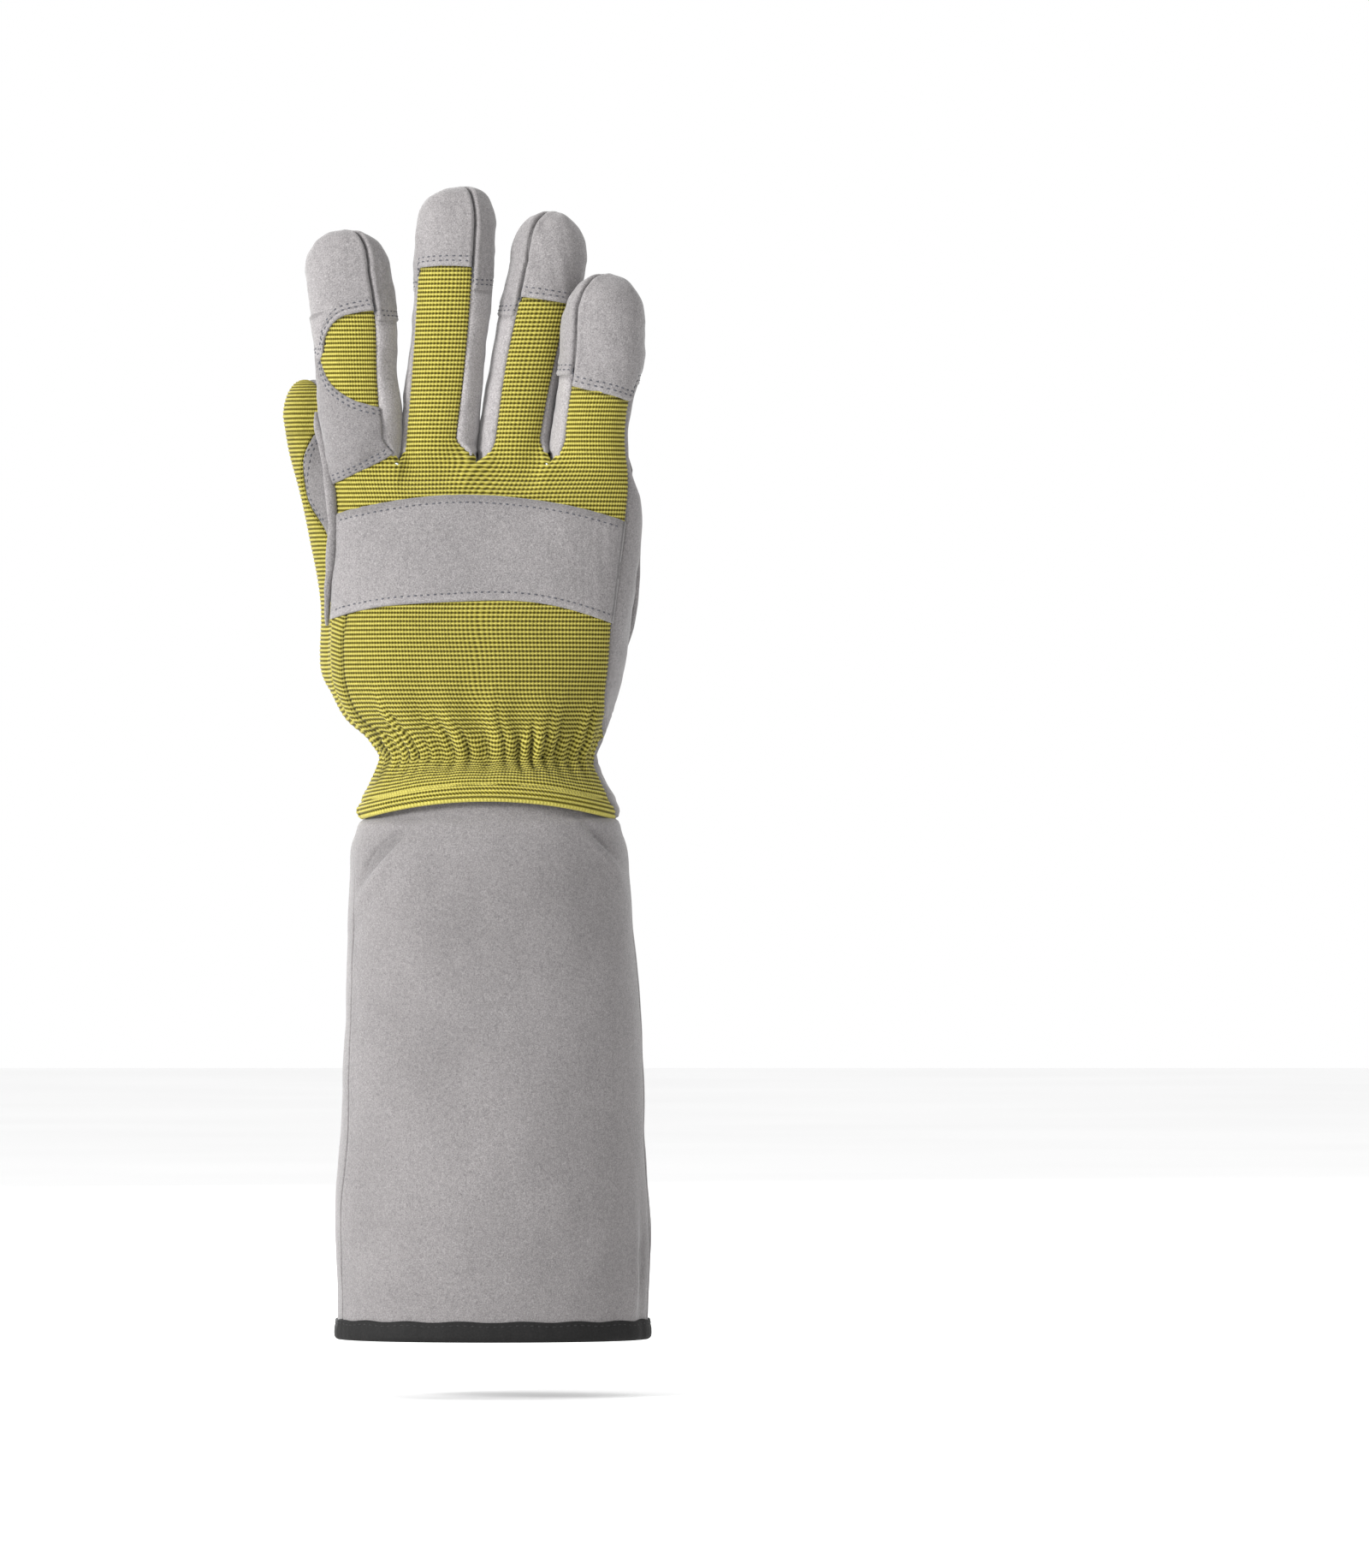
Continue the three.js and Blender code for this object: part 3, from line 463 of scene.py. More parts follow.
def noises(t, at, *sizes):
    """A noise texture for each scale, detail and roughness."""
    out = []
    for scale, detail, rough in sizes:
        n = node(t, "ShaderNodeTexNoise", Scale=scale, Detail=detail, Roughness=rough)
        t.links.new(at, n.inputs["Vector"])
        out.append(n.outputs["Fac"])
    return out


def finish(t, out, colour, rough, specular, sheen, *bumps):
    """Surface of a material: its colour, gloss, sheen and bumps of height, strength and depth."""
    t.links.new(colour, out.inputs["Base Color"])
    out.inputs["Roughness"].default_value = rough
    out.inputs["Specular IOR Level"].default_value = specular
    if sheen:
        out.inputs["Sheen Weight"].default_value, out.inputs["Sheen Roughness"].default_value = sheen
    socket = out.inputs["Normal"]
    for height, strength, depth in bumps[::-1]:
        b = node(t, "ShaderNodeBump", Strength=strength, Distance=depth)
        t.links.new(height, b.inputs["Height"])
        t.links.new(b.outputs["Normal"], socket)
        socket = b.inputs["Normal"]


def darkened(t, colour, most):
    """Colour with painted shade: made darker where the mesh's painted-shade measure is high, and painted lighter
    where it is below zero.
    """
    a = node(t, "ShaderNodeAttribute", attribute_name="painted_shading")
    m = math_node(t, "MULTIPLY_ADD", a.outputs["Fac"], 0.5, 0.5)
    grey = ramp(t, m, [(0.0, 1.5), (0.5, 1), (1.0, most)])
    return multiplied(t, colour, grey)


def suede(name, tone, spread, seed=0.0):
    mat, t, out = nodes_of(name)
    where = node(t, "ShaderNodeTexCoord").outputs["Object"]
    move = node(t, "ShaderNodeMapping", Location=(seed, seed * 0.7, 0))
    t.links.new(where, move.inputs["Vector"])
    fine, mid, broad = noises(t, move.outputs["Vector"], (2300, 3, 0.7), (760, 4, 0.7), (45, 3, 0.5))
    r, g, b = tone
    low = rgb(r - 2.3 * spread, g - 2.3 * spread, b - 2.2 * spread)
    high = rgb(r + 2.0 * spread, g + 2.0 * spread, b + 2.0 * spread)
    c1 = ramp(t, fine, [(0.3, low), (0.5, rgb(r, g, b)), (0.72, high)])
    c2 = ramp(t, mid, [(0.32, (0.86, 0.86, 0.865)), (0.5, 1), (0.7, 1.1)])
    c3 = ramp(t, broad, [(0.3, (0.95, 0.95, 0.952)), (0.7, 1.04)])
    finish(t, out, darkened(t, multiplied(t, c1, c2, c3), 0.12), 0.95, 0.15, (0.35, 0.45),
           (fine, 0.5, 0.0003), (mid, 0.35, 0.0008))
    return mat


def ribbed(name):
    """Olive stretch cloth: rows of small beads, with painted shade between the rows and a painted highlight on
    the crests of the ribs and beads.
    """
    mat, t, out = nodes_of(name)

    def wave(key, pitch):
        a = node(t, "ShaderNodeAttribute", attribute_name=key)
        turns = math_node(t, "MULTIPLY", a.outputs["Fac"], 2 * math.pi / pitch)
        return math_node(t, "MULTIPLY_ADD", math_node(t, "COSINE", turns), 0.5, 0.5)

    both = math_node(t, "MULTIPLY_ADD", wave("cloth_u", BEAD), 0.5, wave("cloth_v", RIB))
    grain, broad = noises(t, node(t, "ShaderNodeTexCoord").outputs["Object"], (900, 3, 0.6), (40, 2, 0.5))
    c = ramp(t, both, [(0.0, rgb(42, 36, 2)), (0.3, rgb(68, 61, 6)), (0.72, rgb(116, 108, 30)),
                       (1.0, rgb(166, 157, 78))])
    g = ramp(t, grain, [(0.3, (0.82, 0.82, 0.8)), (0.5, 1), (0.72, (1.14, 1.14, 1.12))])
    w = ramp(t, broad, [(0.3, (0.96, 0.96, 0.95)), (0.7, 1.04)])
    finish(t, out, darkened(t, multiplied(t, c, g, w), 0.1), 0.8, 0.15, (0.06, 0.5),
           (both, 0.6, 0.0005), (grain, 0.25, 0.0003))
    return mat


def plain_weave(name, low, high, scale, rough=0.75, bump=0.3):
    mat, t, out = nodes_of(name)
    n, = noises(t, node(t, "ShaderNodeTexCoord").outputs["Object"], (scale, 3, 0.6))
    finish(t, out, ramp(t, n, [(0.3, low), (0.7, high)]), rough, 0.3, None, (n, bump, 0.0003))
    return mat


RIB, BEAD = 1.5, 1.05  # pitch of the ribs and of the beads along them
SUEDE = suede("grey_suede", (123, 120, 120), 12)
SUEDE_CAP = suede("grey_suede_caps", (128, 125, 125), 12, 3.1)
SUEDE_PAD = suede("grey_suede_pads", (127, 124, 124), 14, 5.7)
SUEDE_CUFF = suede("grey_suede_sleeve", (119, 116, 116), 10, 9.3)
OLIVE = ribbed("olive_ribbed")
BLACK = plain_weave("black_binding_tape", rgb(8, 8, 8), rgb(22, 21, 21), 1400, 0.8, 0.5)
THREAD = plain_weave("grey_thread", rgb(48, 49, 54), rgb(92, 93, 99), 2500)
PALE = plain_weave("pale_thread", rgb(165, 172, 182), rgb(205, 211, 220), 2500, 0.7)
DARK = plain_weave("black_thread", rgb(24, 24, 24), rgb(44, 44, 44), 2500, 0.7)


# Stitches
STITCHES = {"grey": [], "pale": [], "dark": []}


def sew(kind, piece, path, pitch=2.35, share=0.72, radius=0.3):
    """A row of stitches along a path on a piece."""
    p, n = PIECES[piece].settle(along(path, 0.45))
    s = run(p)
    at = np.arange(0.3, s[-1] - pitch * share, pitch)
    read = lambda a, x: np.stack([np.interp(x, s, a[:, i]) for i in range(3)], -1)
    for a in at:
        jig = rng.uniform(-0.08, 0.08)
        x = a + np.array([0, 0.25, 0.5, 0.75, 1]) * pitch * (share + jig)
        STITCHES[kind].append((read(p, x), read(n, x), radius * rng.uniform(0.92, 1.08)))


def stitch_mesh(kind, material):
    verts, faces = [], []
    sides = 5
    fat = np.array([0.35, 0.92, 1, 0.92, 0.35])
    rise = np.array([-0.6, -0.05, 0.05, -0.05, -0.6])
    turn = np.arange(sides) * 2 * np.pi / sides
    for p, n, radius in STITCHES[kind]:
        t = p[-1] - p[0]
        length = np.linalg.norm(t)
        if length < 0.3:
            continue
        t /= length
        n = unit(n)
        b = unit(np.cross(n, t), 1e-9)
        first = len(verts) * sides
        for i in range(5):
            c = p[i] + n[i] * radius * 2.0 * rise[i]
            ring = (c + np.outer(np.cos(turn), b[i]) * radius * fat[i]
                    + np.outer(np.sin(turn), n[i]) * radius * fat[i] * 0.8)
            verts.append(ring)
        for i in range(4):
            for k in range(sides):
                a, a2 = first + i * sides + k, first + i * sides + (k + 1) % sides
                faces.append((a, a + sides, a2 + sides, a2))
        for k in range(1, sides - 1):
            faces.append((first, first + k, first + k + 1, first + k + 1))
            top = first + 4 * sides
            faces.append((top, top + k + 1, top + k, top + k))
    make("stitches_" + kind, np.concatenate(verts), np.array(faces), material)


# Back of the hand
FOLDS = 42


def evened(turn):
    """Turn counted evenly along the wrist."""
    return turn - 0.085 * np.sin(2 * turn)


def pleats(turn, z):
    """Shape of the pleats of the elastic, -1 in a valley to 1 on a ridge, even along the wrist."""
    drift = 1.1 * np.sin(turn * 3 + 1) + 0.8 * np.sin(turn * 7 + 2)
    sway = 0.5 * np.sin((z - 204) / 7 + turn * 5)
    return 2 * np.abs(np.cos((evened(turn) * FOLDS + drift + sway) / 2)) ** 0.8 - 1.15


def gather_size(turn, z):
    """How strongly the elastic works at a place: long creases upwards, short ones below."""
    long_up = 7.5 + 4.5 * np.sin(evened(turn) * 13 + 1.3) + 3 * np.sin(evened(turn) * 21 + 0.4)
    up = hump(z - 207, np.where(z > 207, np.maximum(long_up, 3.5), 9.5))
    return up * (0.85 + 0.25 * np.sin(turn * 5 + 0.7) + 0.2 * np.sin(turn * 11 + 2))


def gathers(turn, z):
    """Pleats of the elastic and the broad folds that run up from them."""
    broad = np.cos(evened(turn) * 14 + 1.2 * np.sin(turn * 4) + 0.4) * hump(z - 213, 15.0)
    tuck = hump(z - 204, 3.2) * 0.7
    return 1.35 * pleats(turn, z) * gather_size(turn, z) + 0.8 * broad - tuck


def rib_shift(turn, z):
    """How far the ribs ride up on the pleats."""
    return 0.85 * pleats(turn, z) * gather_size(turn, z) * step(188, 196, z)


def pleat_shade(turn, z):
    return np.clip(-pleats(turn, z) * gather_size(turn, z), -0.35, 1) * 0.62


def rib_wave(v):
    return 0.17 * np.cos(2 * np.pi * v / RIB)


def hem_swell(v):
    return 0.75 * hump(v - 185.2, 1.5) - 0.45 * hump(v - 188.4, 0.9)


def soft(p, seed, size=0.5, scale=34):
    return size * waves(p, scale, seed, 3)


def bulk(p):
    """Broad unevenness that every layer on the back of the hand shares."""
    return 0.5 * waves(p, 60, 11, 2) * step(330, 300, p[..., 2])


def seam_edges(v):
    """Turns on the palm of the seams on the thumb side and on the little side."""
    _, _, my, hy, p = palm_at(v)
    edge = (-0.07 + 0.04 * step(web_z - 30, web_z - 6, v)) * palm_depth
    s = np.clip((edge - my) / hy, -0.9, 0.9)
    left = np.pi + np.arcsin(np.abs(s) ** (p / 2)) * np.sign(-s)
    right = palm_turn(line(little_seam, v), v, True)
    return left, right


COLS = 25


def finger_columns(kind):
    """For each column: finger, place across it, turns on it and on the palm at the web, and if it is free."""
    out = []
    order = range(4) if kind == "back" else range(3, -1, -1)
    left, right = [float(a) for a in seam_edges(np.array(web_z))]
    cuts = [left] + [float(palm_turn(x, web_z, True)) for x in WEB_X] + [right]
    if kind == "front":
        cuts = [right - 2 * np.pi] + [float(palm_turn(x, web_z, False)) for x in WEB_X[::-1]] + [left]
    for k, i in enumerate(order):
        f = FINGERS[i]
        if kind == "back":
            a, b = (np.pi if i == 0 else seam_turn(f["left"])), seam_turn(f["right"])
        else:
            a = seam_turn(f["right"]) - 2 * np.pi if i == 3 else FRONT
            b = np.pi if i == 0 else np.pi - FRONT
        for c in range(COLS):
            t = c / (COLS - 1)
            free = i in (0, 3) and (t < 0.5 if (i == 0) == (kind == "back") else t > 0.5)
            out.append((i, t, a + (b - a) * t, cuts[k] + (cuts[k + 1] - cuts[k]) * t, free))
    return out


def hand_grid(kind, rows):
    """Points of the back or the palm side for every row height and column, and the turns of the columns on the
    palm's section.
    """
    cols = finger_columns(kind)
    v = np.asarray(rows)[:, None]
    tp = np.array([c[3] for c in cols])
    el, er = seam_edges(v)
    lo, hi = (el, er) if kind == "back" else (er - 2 * np.pi, el)
    share = (tp - tp[0]) / (tp[-1] - tp[0])
    turn = lo + (hi - lo) * share[None, :]
    base = palm(turn, np.minimum(v, web_z + 12) + 0 * turn)
    base[..., 2] += np.maximum(v - web_z - 12, 0)
    out = np.empty_like(base)
    for k, (i, t, tf, _, free) in enumerate(cols):
        f = FINGERS[i]
        on = finger(f, np.full(len(rows), tf), v[:, 0])
        mid = step(web_z - 13, web_z + 5, v[:, 0])
        side = step(web_z - 1, web_z + 9, v[:, 0])
        e = 0 if free else abs(2 * t - 1) ** 3
        w = (mid * (1 - e) + side * e)[:, None]
        out[:, k] = base[:, k] * (1 - w) + on * w
    return out, turn


def weave_index(rows, split):
    """Grid numbering in which neighbouring strips share their edge below the webs."""
    idx = np.arange(rows * 4 * COLS).reshape(rows, 4 * COLS)
    for first in (COLS, 2 * COLS, 3 * COLS):
        idx[:split, first] = idx[:split, first - 1]
    return idx


def strip_keep(rows, cols):
    """Which cells of the hand grid are cloth: none between strips, and none far under the caps."""
    keep = np.zeros((len(rows) - 1, 4 * COLS - 1), bool)
    for c, (i, t, turn, _, _) in enumerate(cols[:-1]):
        if t < 1:
            keep[:, c] = (rows[:-1] + rows[1:]) / 2 <= float(edge_z(FINGERS[i], turn, 2.0))
    return keep


def edge_z(f, turn, extra=0.0):
    """Height of a fingertip cap's edge at a turn, with steps at the seams of the ribbed strip."""
    e = f["edge"]
    d = (np.asarray(turn, float) / RAD + 90) % 360 - 90
    low, high = seam_turn(f["left"]) / RAD, seam_turn(f["right"]) / RAD - 360
    back = curve([r[0] for r in e["back"]], [r[1] for r in e["back"]], d % 360)
    front = curve([r[0] for r in e["front"]], [r[1] for r in e["front"]], d)
    z = front + (e["right"] - front) * step(26, 22, d) + (e["left"] - front) * step(153, 157, d)
    on_back = np.where(d > 90, step(low - 2, low + 2, d), step(high + 2, high - 2, d))
    return z + (back - z) * on_back + extra


back_rows = np.arange(skirt_foot, 378.6, FINE)
BP, BT = hand_grid("back", back_rows)
back_cols = finger_columns("back")
split_back = int(np.searchsorted(back_rows, web_z))
bu = run(BP[60])[None, :] + 0 * back_rows[:, None]
bz = back_rows[:, None] + 0 * bu
# a seam runs down inside the thumb side's edge, and the ribs beyond it slope
seam_in = np.abs(BP[..., 0] - BP[:, :1, 0]) - 4.6 + 2.2 * step(214, 206, bz) - 1.5 * step(240, 262, bz)
low_part = step(262, 256, bz) * step(190, 200, bz)
bv = bz + rib_shift(BT, bz) + low_part * step(0.3, -0.3, seam_in) * (0.7 + 0.35 * seam_in)
seam_cut = low_part * hump(seam_in, 0.55)
relief = rib_wave(bv) + gathers(BT, bz) + bulk(BP) - 0.8 * seam_cut + hem_swell(bz)
# painted shade and light: darker in the pleats' valleys and paler on their ridges, darker in the seam's groove
# and in a line just under the caps' edges, paler on the finger strips, darker lower on the back towards the
# wrist and paler again at the skirt's foot
shade = pleat_shade(BT, bz) + 0.6 * seam_cut
for share, low, high in ((-0.17, 286, 312), (0.07, 262, 236), (0.07, 222, 208), (-0.26, 197, 189)):
    shade += share * step(low, high, bz)
for k, (i, _, tf, _, _) in enumerate(back_cols):
    shade[:, k] += 0.75 * hump(back_rows - float(edge_z(FINGERS[i], tf)) + 0.5, 0.55)


def rolled(grid, dz, r=1.1):
    """The rows of a grid with a rolled hem below its first row, and how many rows that adds."""
    first = grid[0]
    h = first.copy()
    h[:, 2] = 0
    h[:, 0] -= wrist_x
    h = unit(h)
    rows = [grid[int(round(up / dz))] - h * (2 * r + 0.5) for up in (5.4, 2.7)]
    for phi in (180, 150, 120, 90, 60, 30):
        c, s = math.cos(phi * RAD), math.sin(phi * RAD)
        rows.append(first + h * (r * c - r) + np.array([0, 0, -r * s]))
    return np.concatenate([np.array(rows), grid]), len(rows)


MID = np.array([-4.0, 0.0, 250.0])


def weld(name, grid, keep, v, u, dark, relief, index=None, gap=None, **k):
    """Cloth from a grid of points, with a rolled hem below it where the gap between its rows is given."""
    cols = grid.shape[1]
    woven = index is not None
    if not woven:
        index = np.arange(grid[..., 0].size).reshape(-1, cols)
    extra = 0
    if gap:
        grid, extra = rolled(grid, gap)
        hem = np.arange(extra * cols).reshape(extra, cols) + index.max() + 1
        if woven:
            hem[:, COLS::COLS] = hem[:, COLS - 1 : -1 : COLS]
        index = np.concatenate([hem, index])
    data = {}
    # dark carries painted shade onto the mesh, and painted light where it is below zero
    for key, a, below in (
            ("cloth_v", v, 1), ("cloth_u", u, 1), ("painted_shading", dark, 1), ("relief", relief, 0)):
        data[key] = np.zeros(index.max() + 1)
        data[key][index.ravel()] = np.concatenate([a[:1] * below] * extra + [a]).ravel()
    verts = np.zeros((index.max() + 1, 3))
    verts[index.ravel()] = grid.reshape(-1, 3)
    faces = grid_faces(*grid.shape[:2], np.concatenate([keep[:1]] * extra + [keep]), index=index)
    Cloth(name, verts, faces, relief=data.pop("relief"), attrs=data, **k)


weld("back_panel", BP, strip_keep(back_rows, back_cols), bv, bu, shade, relief, gap=FINE, material=OLIVE,
     index=weave_index(len(back_rows), split_back), outward=MID, wall=1.2, edge=1.0, edge_drop=0.8)

# Palm side
front_rows = np.arange(skirt_foot, 376.0, WIDE)
FP, FT = hand_grid("front", front_rows)
keep = strip_keep(front_rows, finger_columns("front"))
# below the thumb's fork the palm ends at the root seam: columns are pulled so that one lies on it
seam_col = 2 * COLS + 4
for r, z in enumerate(front_rows):
    if z < 270:
        lo, hi = FT[r, 0], float(palm_turn(line(root_seam, z), z, False))
        share = (FT[r] - FT[r, 0]) / (FT[r, seam_col] - FT[r, 0])
        t = np.where(share <= 1, lo + (hi - lo) * share,
                     hi + (FT[r, -1] - hi) * (share - 1) / (share[-1] - 1))
        w = float(step(270, 258, z))
        FT[r] = FT[r] * (1 - w) + t * w
        FP[r] = palm(FT[r], np.full(len(t), z))
keep[(front_rows[:-1] + front_rows[1:]) / 2 < 258, seam_col:] = False
fu = run(FP[30])[None, :] + 0 * FP[..., 0]
fv = front_rows[:, None] + 0 * fu


def knuckle_creases(p, v):
    """Crumpled folds across the palm side of the fingers and at their roots."""
    out = np.zeros(v.shape)
    for x0, z0, wide, tall, deep, tilt in [
            (-48, 316, 9, 2.2, -1.3, 0.35), (-50, 327, 8, 1.8, -1.0, -0.2), (-48, 340, 9, 2.0, -0.9, 0.25),
            (-20, 318, 8, 2.0, -1.4, -0.3), (-18, 328, 8, 1.7, -1.1, 0.35), (-17, 338, 7, 1.6, -1.2, -0.15),
            (-16, 349, 8, 1.8, -0.9, 0.3), (6, 316, 8, 2.0, -1.3, 0.35), (9, 326, 8, 1.8, -1.2, -0.25),
            (12, 337, 8, 1.8, -1.0, 0.3), (34, 313, 8, 1.8, -1.2, -0.3), (36, 322, 8, 1.8, -1.1, 0.3)]:
        dx, dz = p[..., 0] - x0, p[..., 2] - z0 - tilt * (p[..., 0] - x0)
        out += deep * hump(dx, wide) * (hump(dz, tall) - 0.6 * hump(dz - 1.7 * tall, 1.2 * tall))
    return 1.7 * out * step(-2, 4, p[..., 1] + 4)


relief = gathers(FT, fv) * 0.55 + hem_swell(fv) * 0.6 + knuckle_creases(FP, fv) + soft(FP, 21, 0.55)
weld("palm_suede", FP, keep, fv, fu, pleat_shade(FT, fv) * 0.3, relief, gap=WIDE, material=SUEDE,
     index=weave_index(len(front_rows), int(np.searchsorted(front_rows, web_z + 1))), outward=MID, wall=1.4,
     edge=1.2, edge_drop=0.8)

# Walls between the fingers
EDGE_BACK = [(back_rows, BP[:, i * COLS], BP[:, (i + 1) * COLS - 1]) for i in range(4)]
EDGE_FRONT = [(front_rows, FP[:, (4 - i) * COLS - 1], FP[:, (3 - i) * COLS]) for i in range(4)]
CROSS, UP = 15, 56  # points across a wall and up it


def edge_point(table, side, z):
    rows, left, right = table
    pts = left if side < 0 else right
    return np.stack([np.interp(z, rows, pts[:, c]) for c in range(3)], -1)


def wall_rows(i, side, zs):
    """One side wall of finger i, from its back seam to its palm seam. Side 1 is towards the little finger."""
    f = FINGERS[i]
    a = seam_turn(f["right"]) if side > 0 else seam_turn(f["left"])
    b = 2 * np.pi + FRONT if side > 0 else np.pi - FRONT
    m = np.linspace(0, 1, CROSS)[None, :]
    turn = a + (b - a) * m + 0 * zs[:, None]
    top = np.minimum(edge_z(f, turn[:1]) + 2.5, edge_z(f, 0.0 if side > 0 else np.pi) + 9)
    z = (web_z + 4) + (top - web_z - 4) * zs[:, None]
    p = finger(f, turn, z)
    back_gap = edge_point(EDGE_BACK[i], side, z[:, 0])[:, None] - p[:, :1]
    front_gap = edge_point(EDGE_FRONT[i], side, z[:, -1])[:, None] - p[:, -1:]
    m = m[..., None]
    return p + back_gap * (1 - m) ** 2 + front_gap * m**2, turn


SWELL = [(32, 0.1), (42, 0.25), (36, 0.6)]  # how high above the web, and how far past the middle of the gap
for i in range(3):
    A, ta = wall_rows(i, 1, np.linspace(1, 0, UP))
    B, tb = wall_rows(i + 1, -1, np.linspace(0, 1, UP))
    bend = []
    for phi in np.linspace(0, np.pi, 15)[1:-1]:
        mid = (A[-1] + B[0]) / 2 + (A[-1] - B[0]) / 2 * math.cos(phi)
        mid[:, 2] -= np.linspace(4.2, 3.2, CROSS) * math.sin(phi)
        bend.append(mid)
    G = np.concatenate([A, np.array(bend), B])
    soft_r = soft(G, 31 + i, 0.35, 22)
    # the two walls swell towards each other above the web, until they nearly touch
    half_gap = (B[::-1, :, 0] - A[:, :, 0]).min(axis=1, keepdims=True) / 2
    swell = np.clip(half_gap + SWELL[i][1], 0, 2.3) * np.sin(np.pi * (np.arange(CROSS) + 0.5) / CROSS) ** 0.6
    up = A[..., 2] - web_z
    swell = swell * step(SWELL[i][0], SWELL[i][0] * 0.6, up) * step(-1.0, 5.0, up)
    soft_r[:UP] += swell
    soft_r[-UP:] += swell[::-1]
    over = np.full(G.shape[:2], -90.0)  # height over the caps' edges, where a line of painted shade is
    over[:UP] = A[..., 2] - edge_z(FINGERS[i], ta)
    over[-UP:] = B[..., 2] - edge_z(FINGERS[i + 1], tb)
    # painted shade in a line just under the caps' edges; elsewhere the walls are painted lighter
    dark = 0.9 * hump(over + 0.5, 0.75) - 0.75
    core = G - np.array([0, 0, 10.0])
    for rows, f in ((slice(0, UP), FINGERS[i]), (slice(len(G) - UP, len(G)), FINGERS[i + 1])):
        mx, _, my, _, _ = tube(f, G[rows, 0, 2])
        core[rows, :, 0], core[rows, :, 1], core[rows, :, 2] = mx[:, None], my[:, None], G[rows, :, 2]
    name = FINGERS[i]["name"] + "_" + FINGERS[i + 1]["name"] + "_gusset"
    Cloth(name, G.reshape(-1, 3), grid_faces(len(G), CROSS), SUEDE, core.reshape(-1, 3), edge=0.8, edge_drop=0.5,
          relief=soft_r.ravel(), attrs=dict(painted_shading=dark.ravel()))
    # a pale stitch tacks each web
    w = EDGE_BACK[i][2][split_back]
    for dx, dz in ((-1.5, 0.9), (1.4, 0.7)):
        sew("pale", "back_panel", np.array([w + [0.2 * dx, 0, -1.6], w + [dx, 0, dz - 1.0]]), pitch=1.9,
            radius=0.32, share=0.85)

# Thumb
def ray(cx, cy, mx, my, hx, hy, p, alpha):
    """How far a ray from a point inside an oval runs to its edge."""
    lo, hi = np.zeros_like(alpha), np.full_like(alpha, 140.0)
    for _ in range(26):
        r = (lo + hi) / 2
        x = np.abs((cx + r * np.cos(alpha) - mx) / hx)
        y = np.abs((cy + r * np.sin(alpha) - my) / hy)
        inside = x**p + y**p < 1
        lo, hi = np.where(inside, r, lo), np.where(inside, hi, r)
    return lo


def smooth_max(a, b, k=7.0):
    return 0.5 * (a + b + np.sqrt((a - b) ** 2 + k * k)) - 0.5 * k * np.exp(-np.abs(a - b) / k)


tip_z = thumb_z + THUMB["rows"][-1][0] * THUMB["length"]
N_OLIVE, N_GREY, N_BACK = 52, 34, 40


def thumb_grid(rows):
    """Rows of points round the thumb and its mound: ribbed part, palm part and inner part in one sweep."""
    out = []
    for v in rows:
        z = min(v, tip_z)
        mx, hx, my, hy, top = [float(a) for a in tube(THUMB, max(v, thumb_z))]
        px, pw, py, pd, pq = [float(a) for a in palm_at(min(z, web_z))]
        w = float(step(196, 236, z))
        cx, cy = -12 + (mx + 12) * w, 2 + (my - 2) * w
        join = float(step(276, 258, z))
        ridge = palm(float(seam_edges(np.array(min(z, web_z - 8.0)))[0]), z)
        a_ridge = math.atan2(ridge[1] - cy, ridge[0] - cx) % (2 * math.pi)
        s = float(np.clip((line(strip_line, z) - mx) / max(hx, 1), -0.95, 0.3)) if v < tip_z - 6 else 0.3
        t = seam_turn(s)
        ox, oy = oval(t, hx, hy, 2.2)
        a_strip = math.atan2(float(oy), float(ox)) % (2 * math.pi)
        w2 = float(step(256, 286, z))
        a0 = a_ridge * (1 - w2) + a_strip * w2
        rx = float(line(root_seam, z))
        root = palm(float(palm_turn(rx, min(z, web_z), False)), z)
        a_root = math.atan2(root[1] - cy, root[0] - cx)
        w3 = float(step(262, 292, z))
        a_root = a_root * (1 - w3) + 0.45 * w3
        a_end = a0 - 2 * math.pi

        def reach(alpha):
            rt = ray(cx, cy, mx, my, hx, hy, 2.2, alpha) if z > thumb_z - 1 else np.zeros_like(alpha)
            if join <= 0:
                return rt
            rp = ray(cx, cy, px, py, pw, pd, pq, alpha)
            wt = float(step(212, 238, z))
            u = rp * (1 - wt) + smooth_max(rp, rt) * wt
            return u * join + rt * (1 - join)

        alpha = np.linspace(a0, a_root, 260)
        r = reach(alpha)
        pts = np.stack([cx + r * np.cos(alpha), cy + r * np.sin(alpha)], 1)
        s_len = run(pts)
        bx = float(line(side_seam, z))
        k = int(np.searchsorted(pts[:, 0] * (alpha < np.pi * 0.93) + -999 * (alpha >= np.pi * 0.93), bx))
        k = min(max(k, 2), 258)
        s_b = s_len[k - 1] + (s_len[k] - s_len[k - 1]) * np.clip(
            (bx - pts[k - 1, 0]) / max(pts[k, 0] - pts[k - 1, 0], 1e-6), 0, 1)
        if v >= tip_z - 4:
            s_b = s_len[-1] * share
        else:
            share = s_b / s_len[-1]
        if z < gather_z + 0.21 * palm_length:
            s_b = s_len[-1] * 0.9999
        take = np.concatenate([np.linspace(0, s_b, N_OLIVE + 1), np.linspace(s_b, s_len[-1], N_GREY + 1)[1:]])
        a_take = np.interp(take, s_len, alpha)
        a_all = np.concatenate([a_take, np.linspace(a_root, a_end, N_BACK + 1)[1:]])
        r = reach(a_all)
        if z > 240:
            extra = ray(cx, cy, mx, my, hx, hy, 2.2, a_all)
            r = np.where(np.arange(len(a_all)) > N_OLIVE + N_GREY, extra, r)
        zz = np.full(len(a_all), top if v > thumb_z else v)
        if v < gather_z:
            turn = np.arctan2((cy + r * np.sin(a_all)) / pd, (cx + r * np.cos(a_all) - px) / pw)
            zz = zz + float(arch_at(v)) * np.sin(turn) ** 2
        out.append(np.stack([cx + r * np.cos(a_all), cy + r * np.sin(a_all), zz], 1))
    return np.array(out)


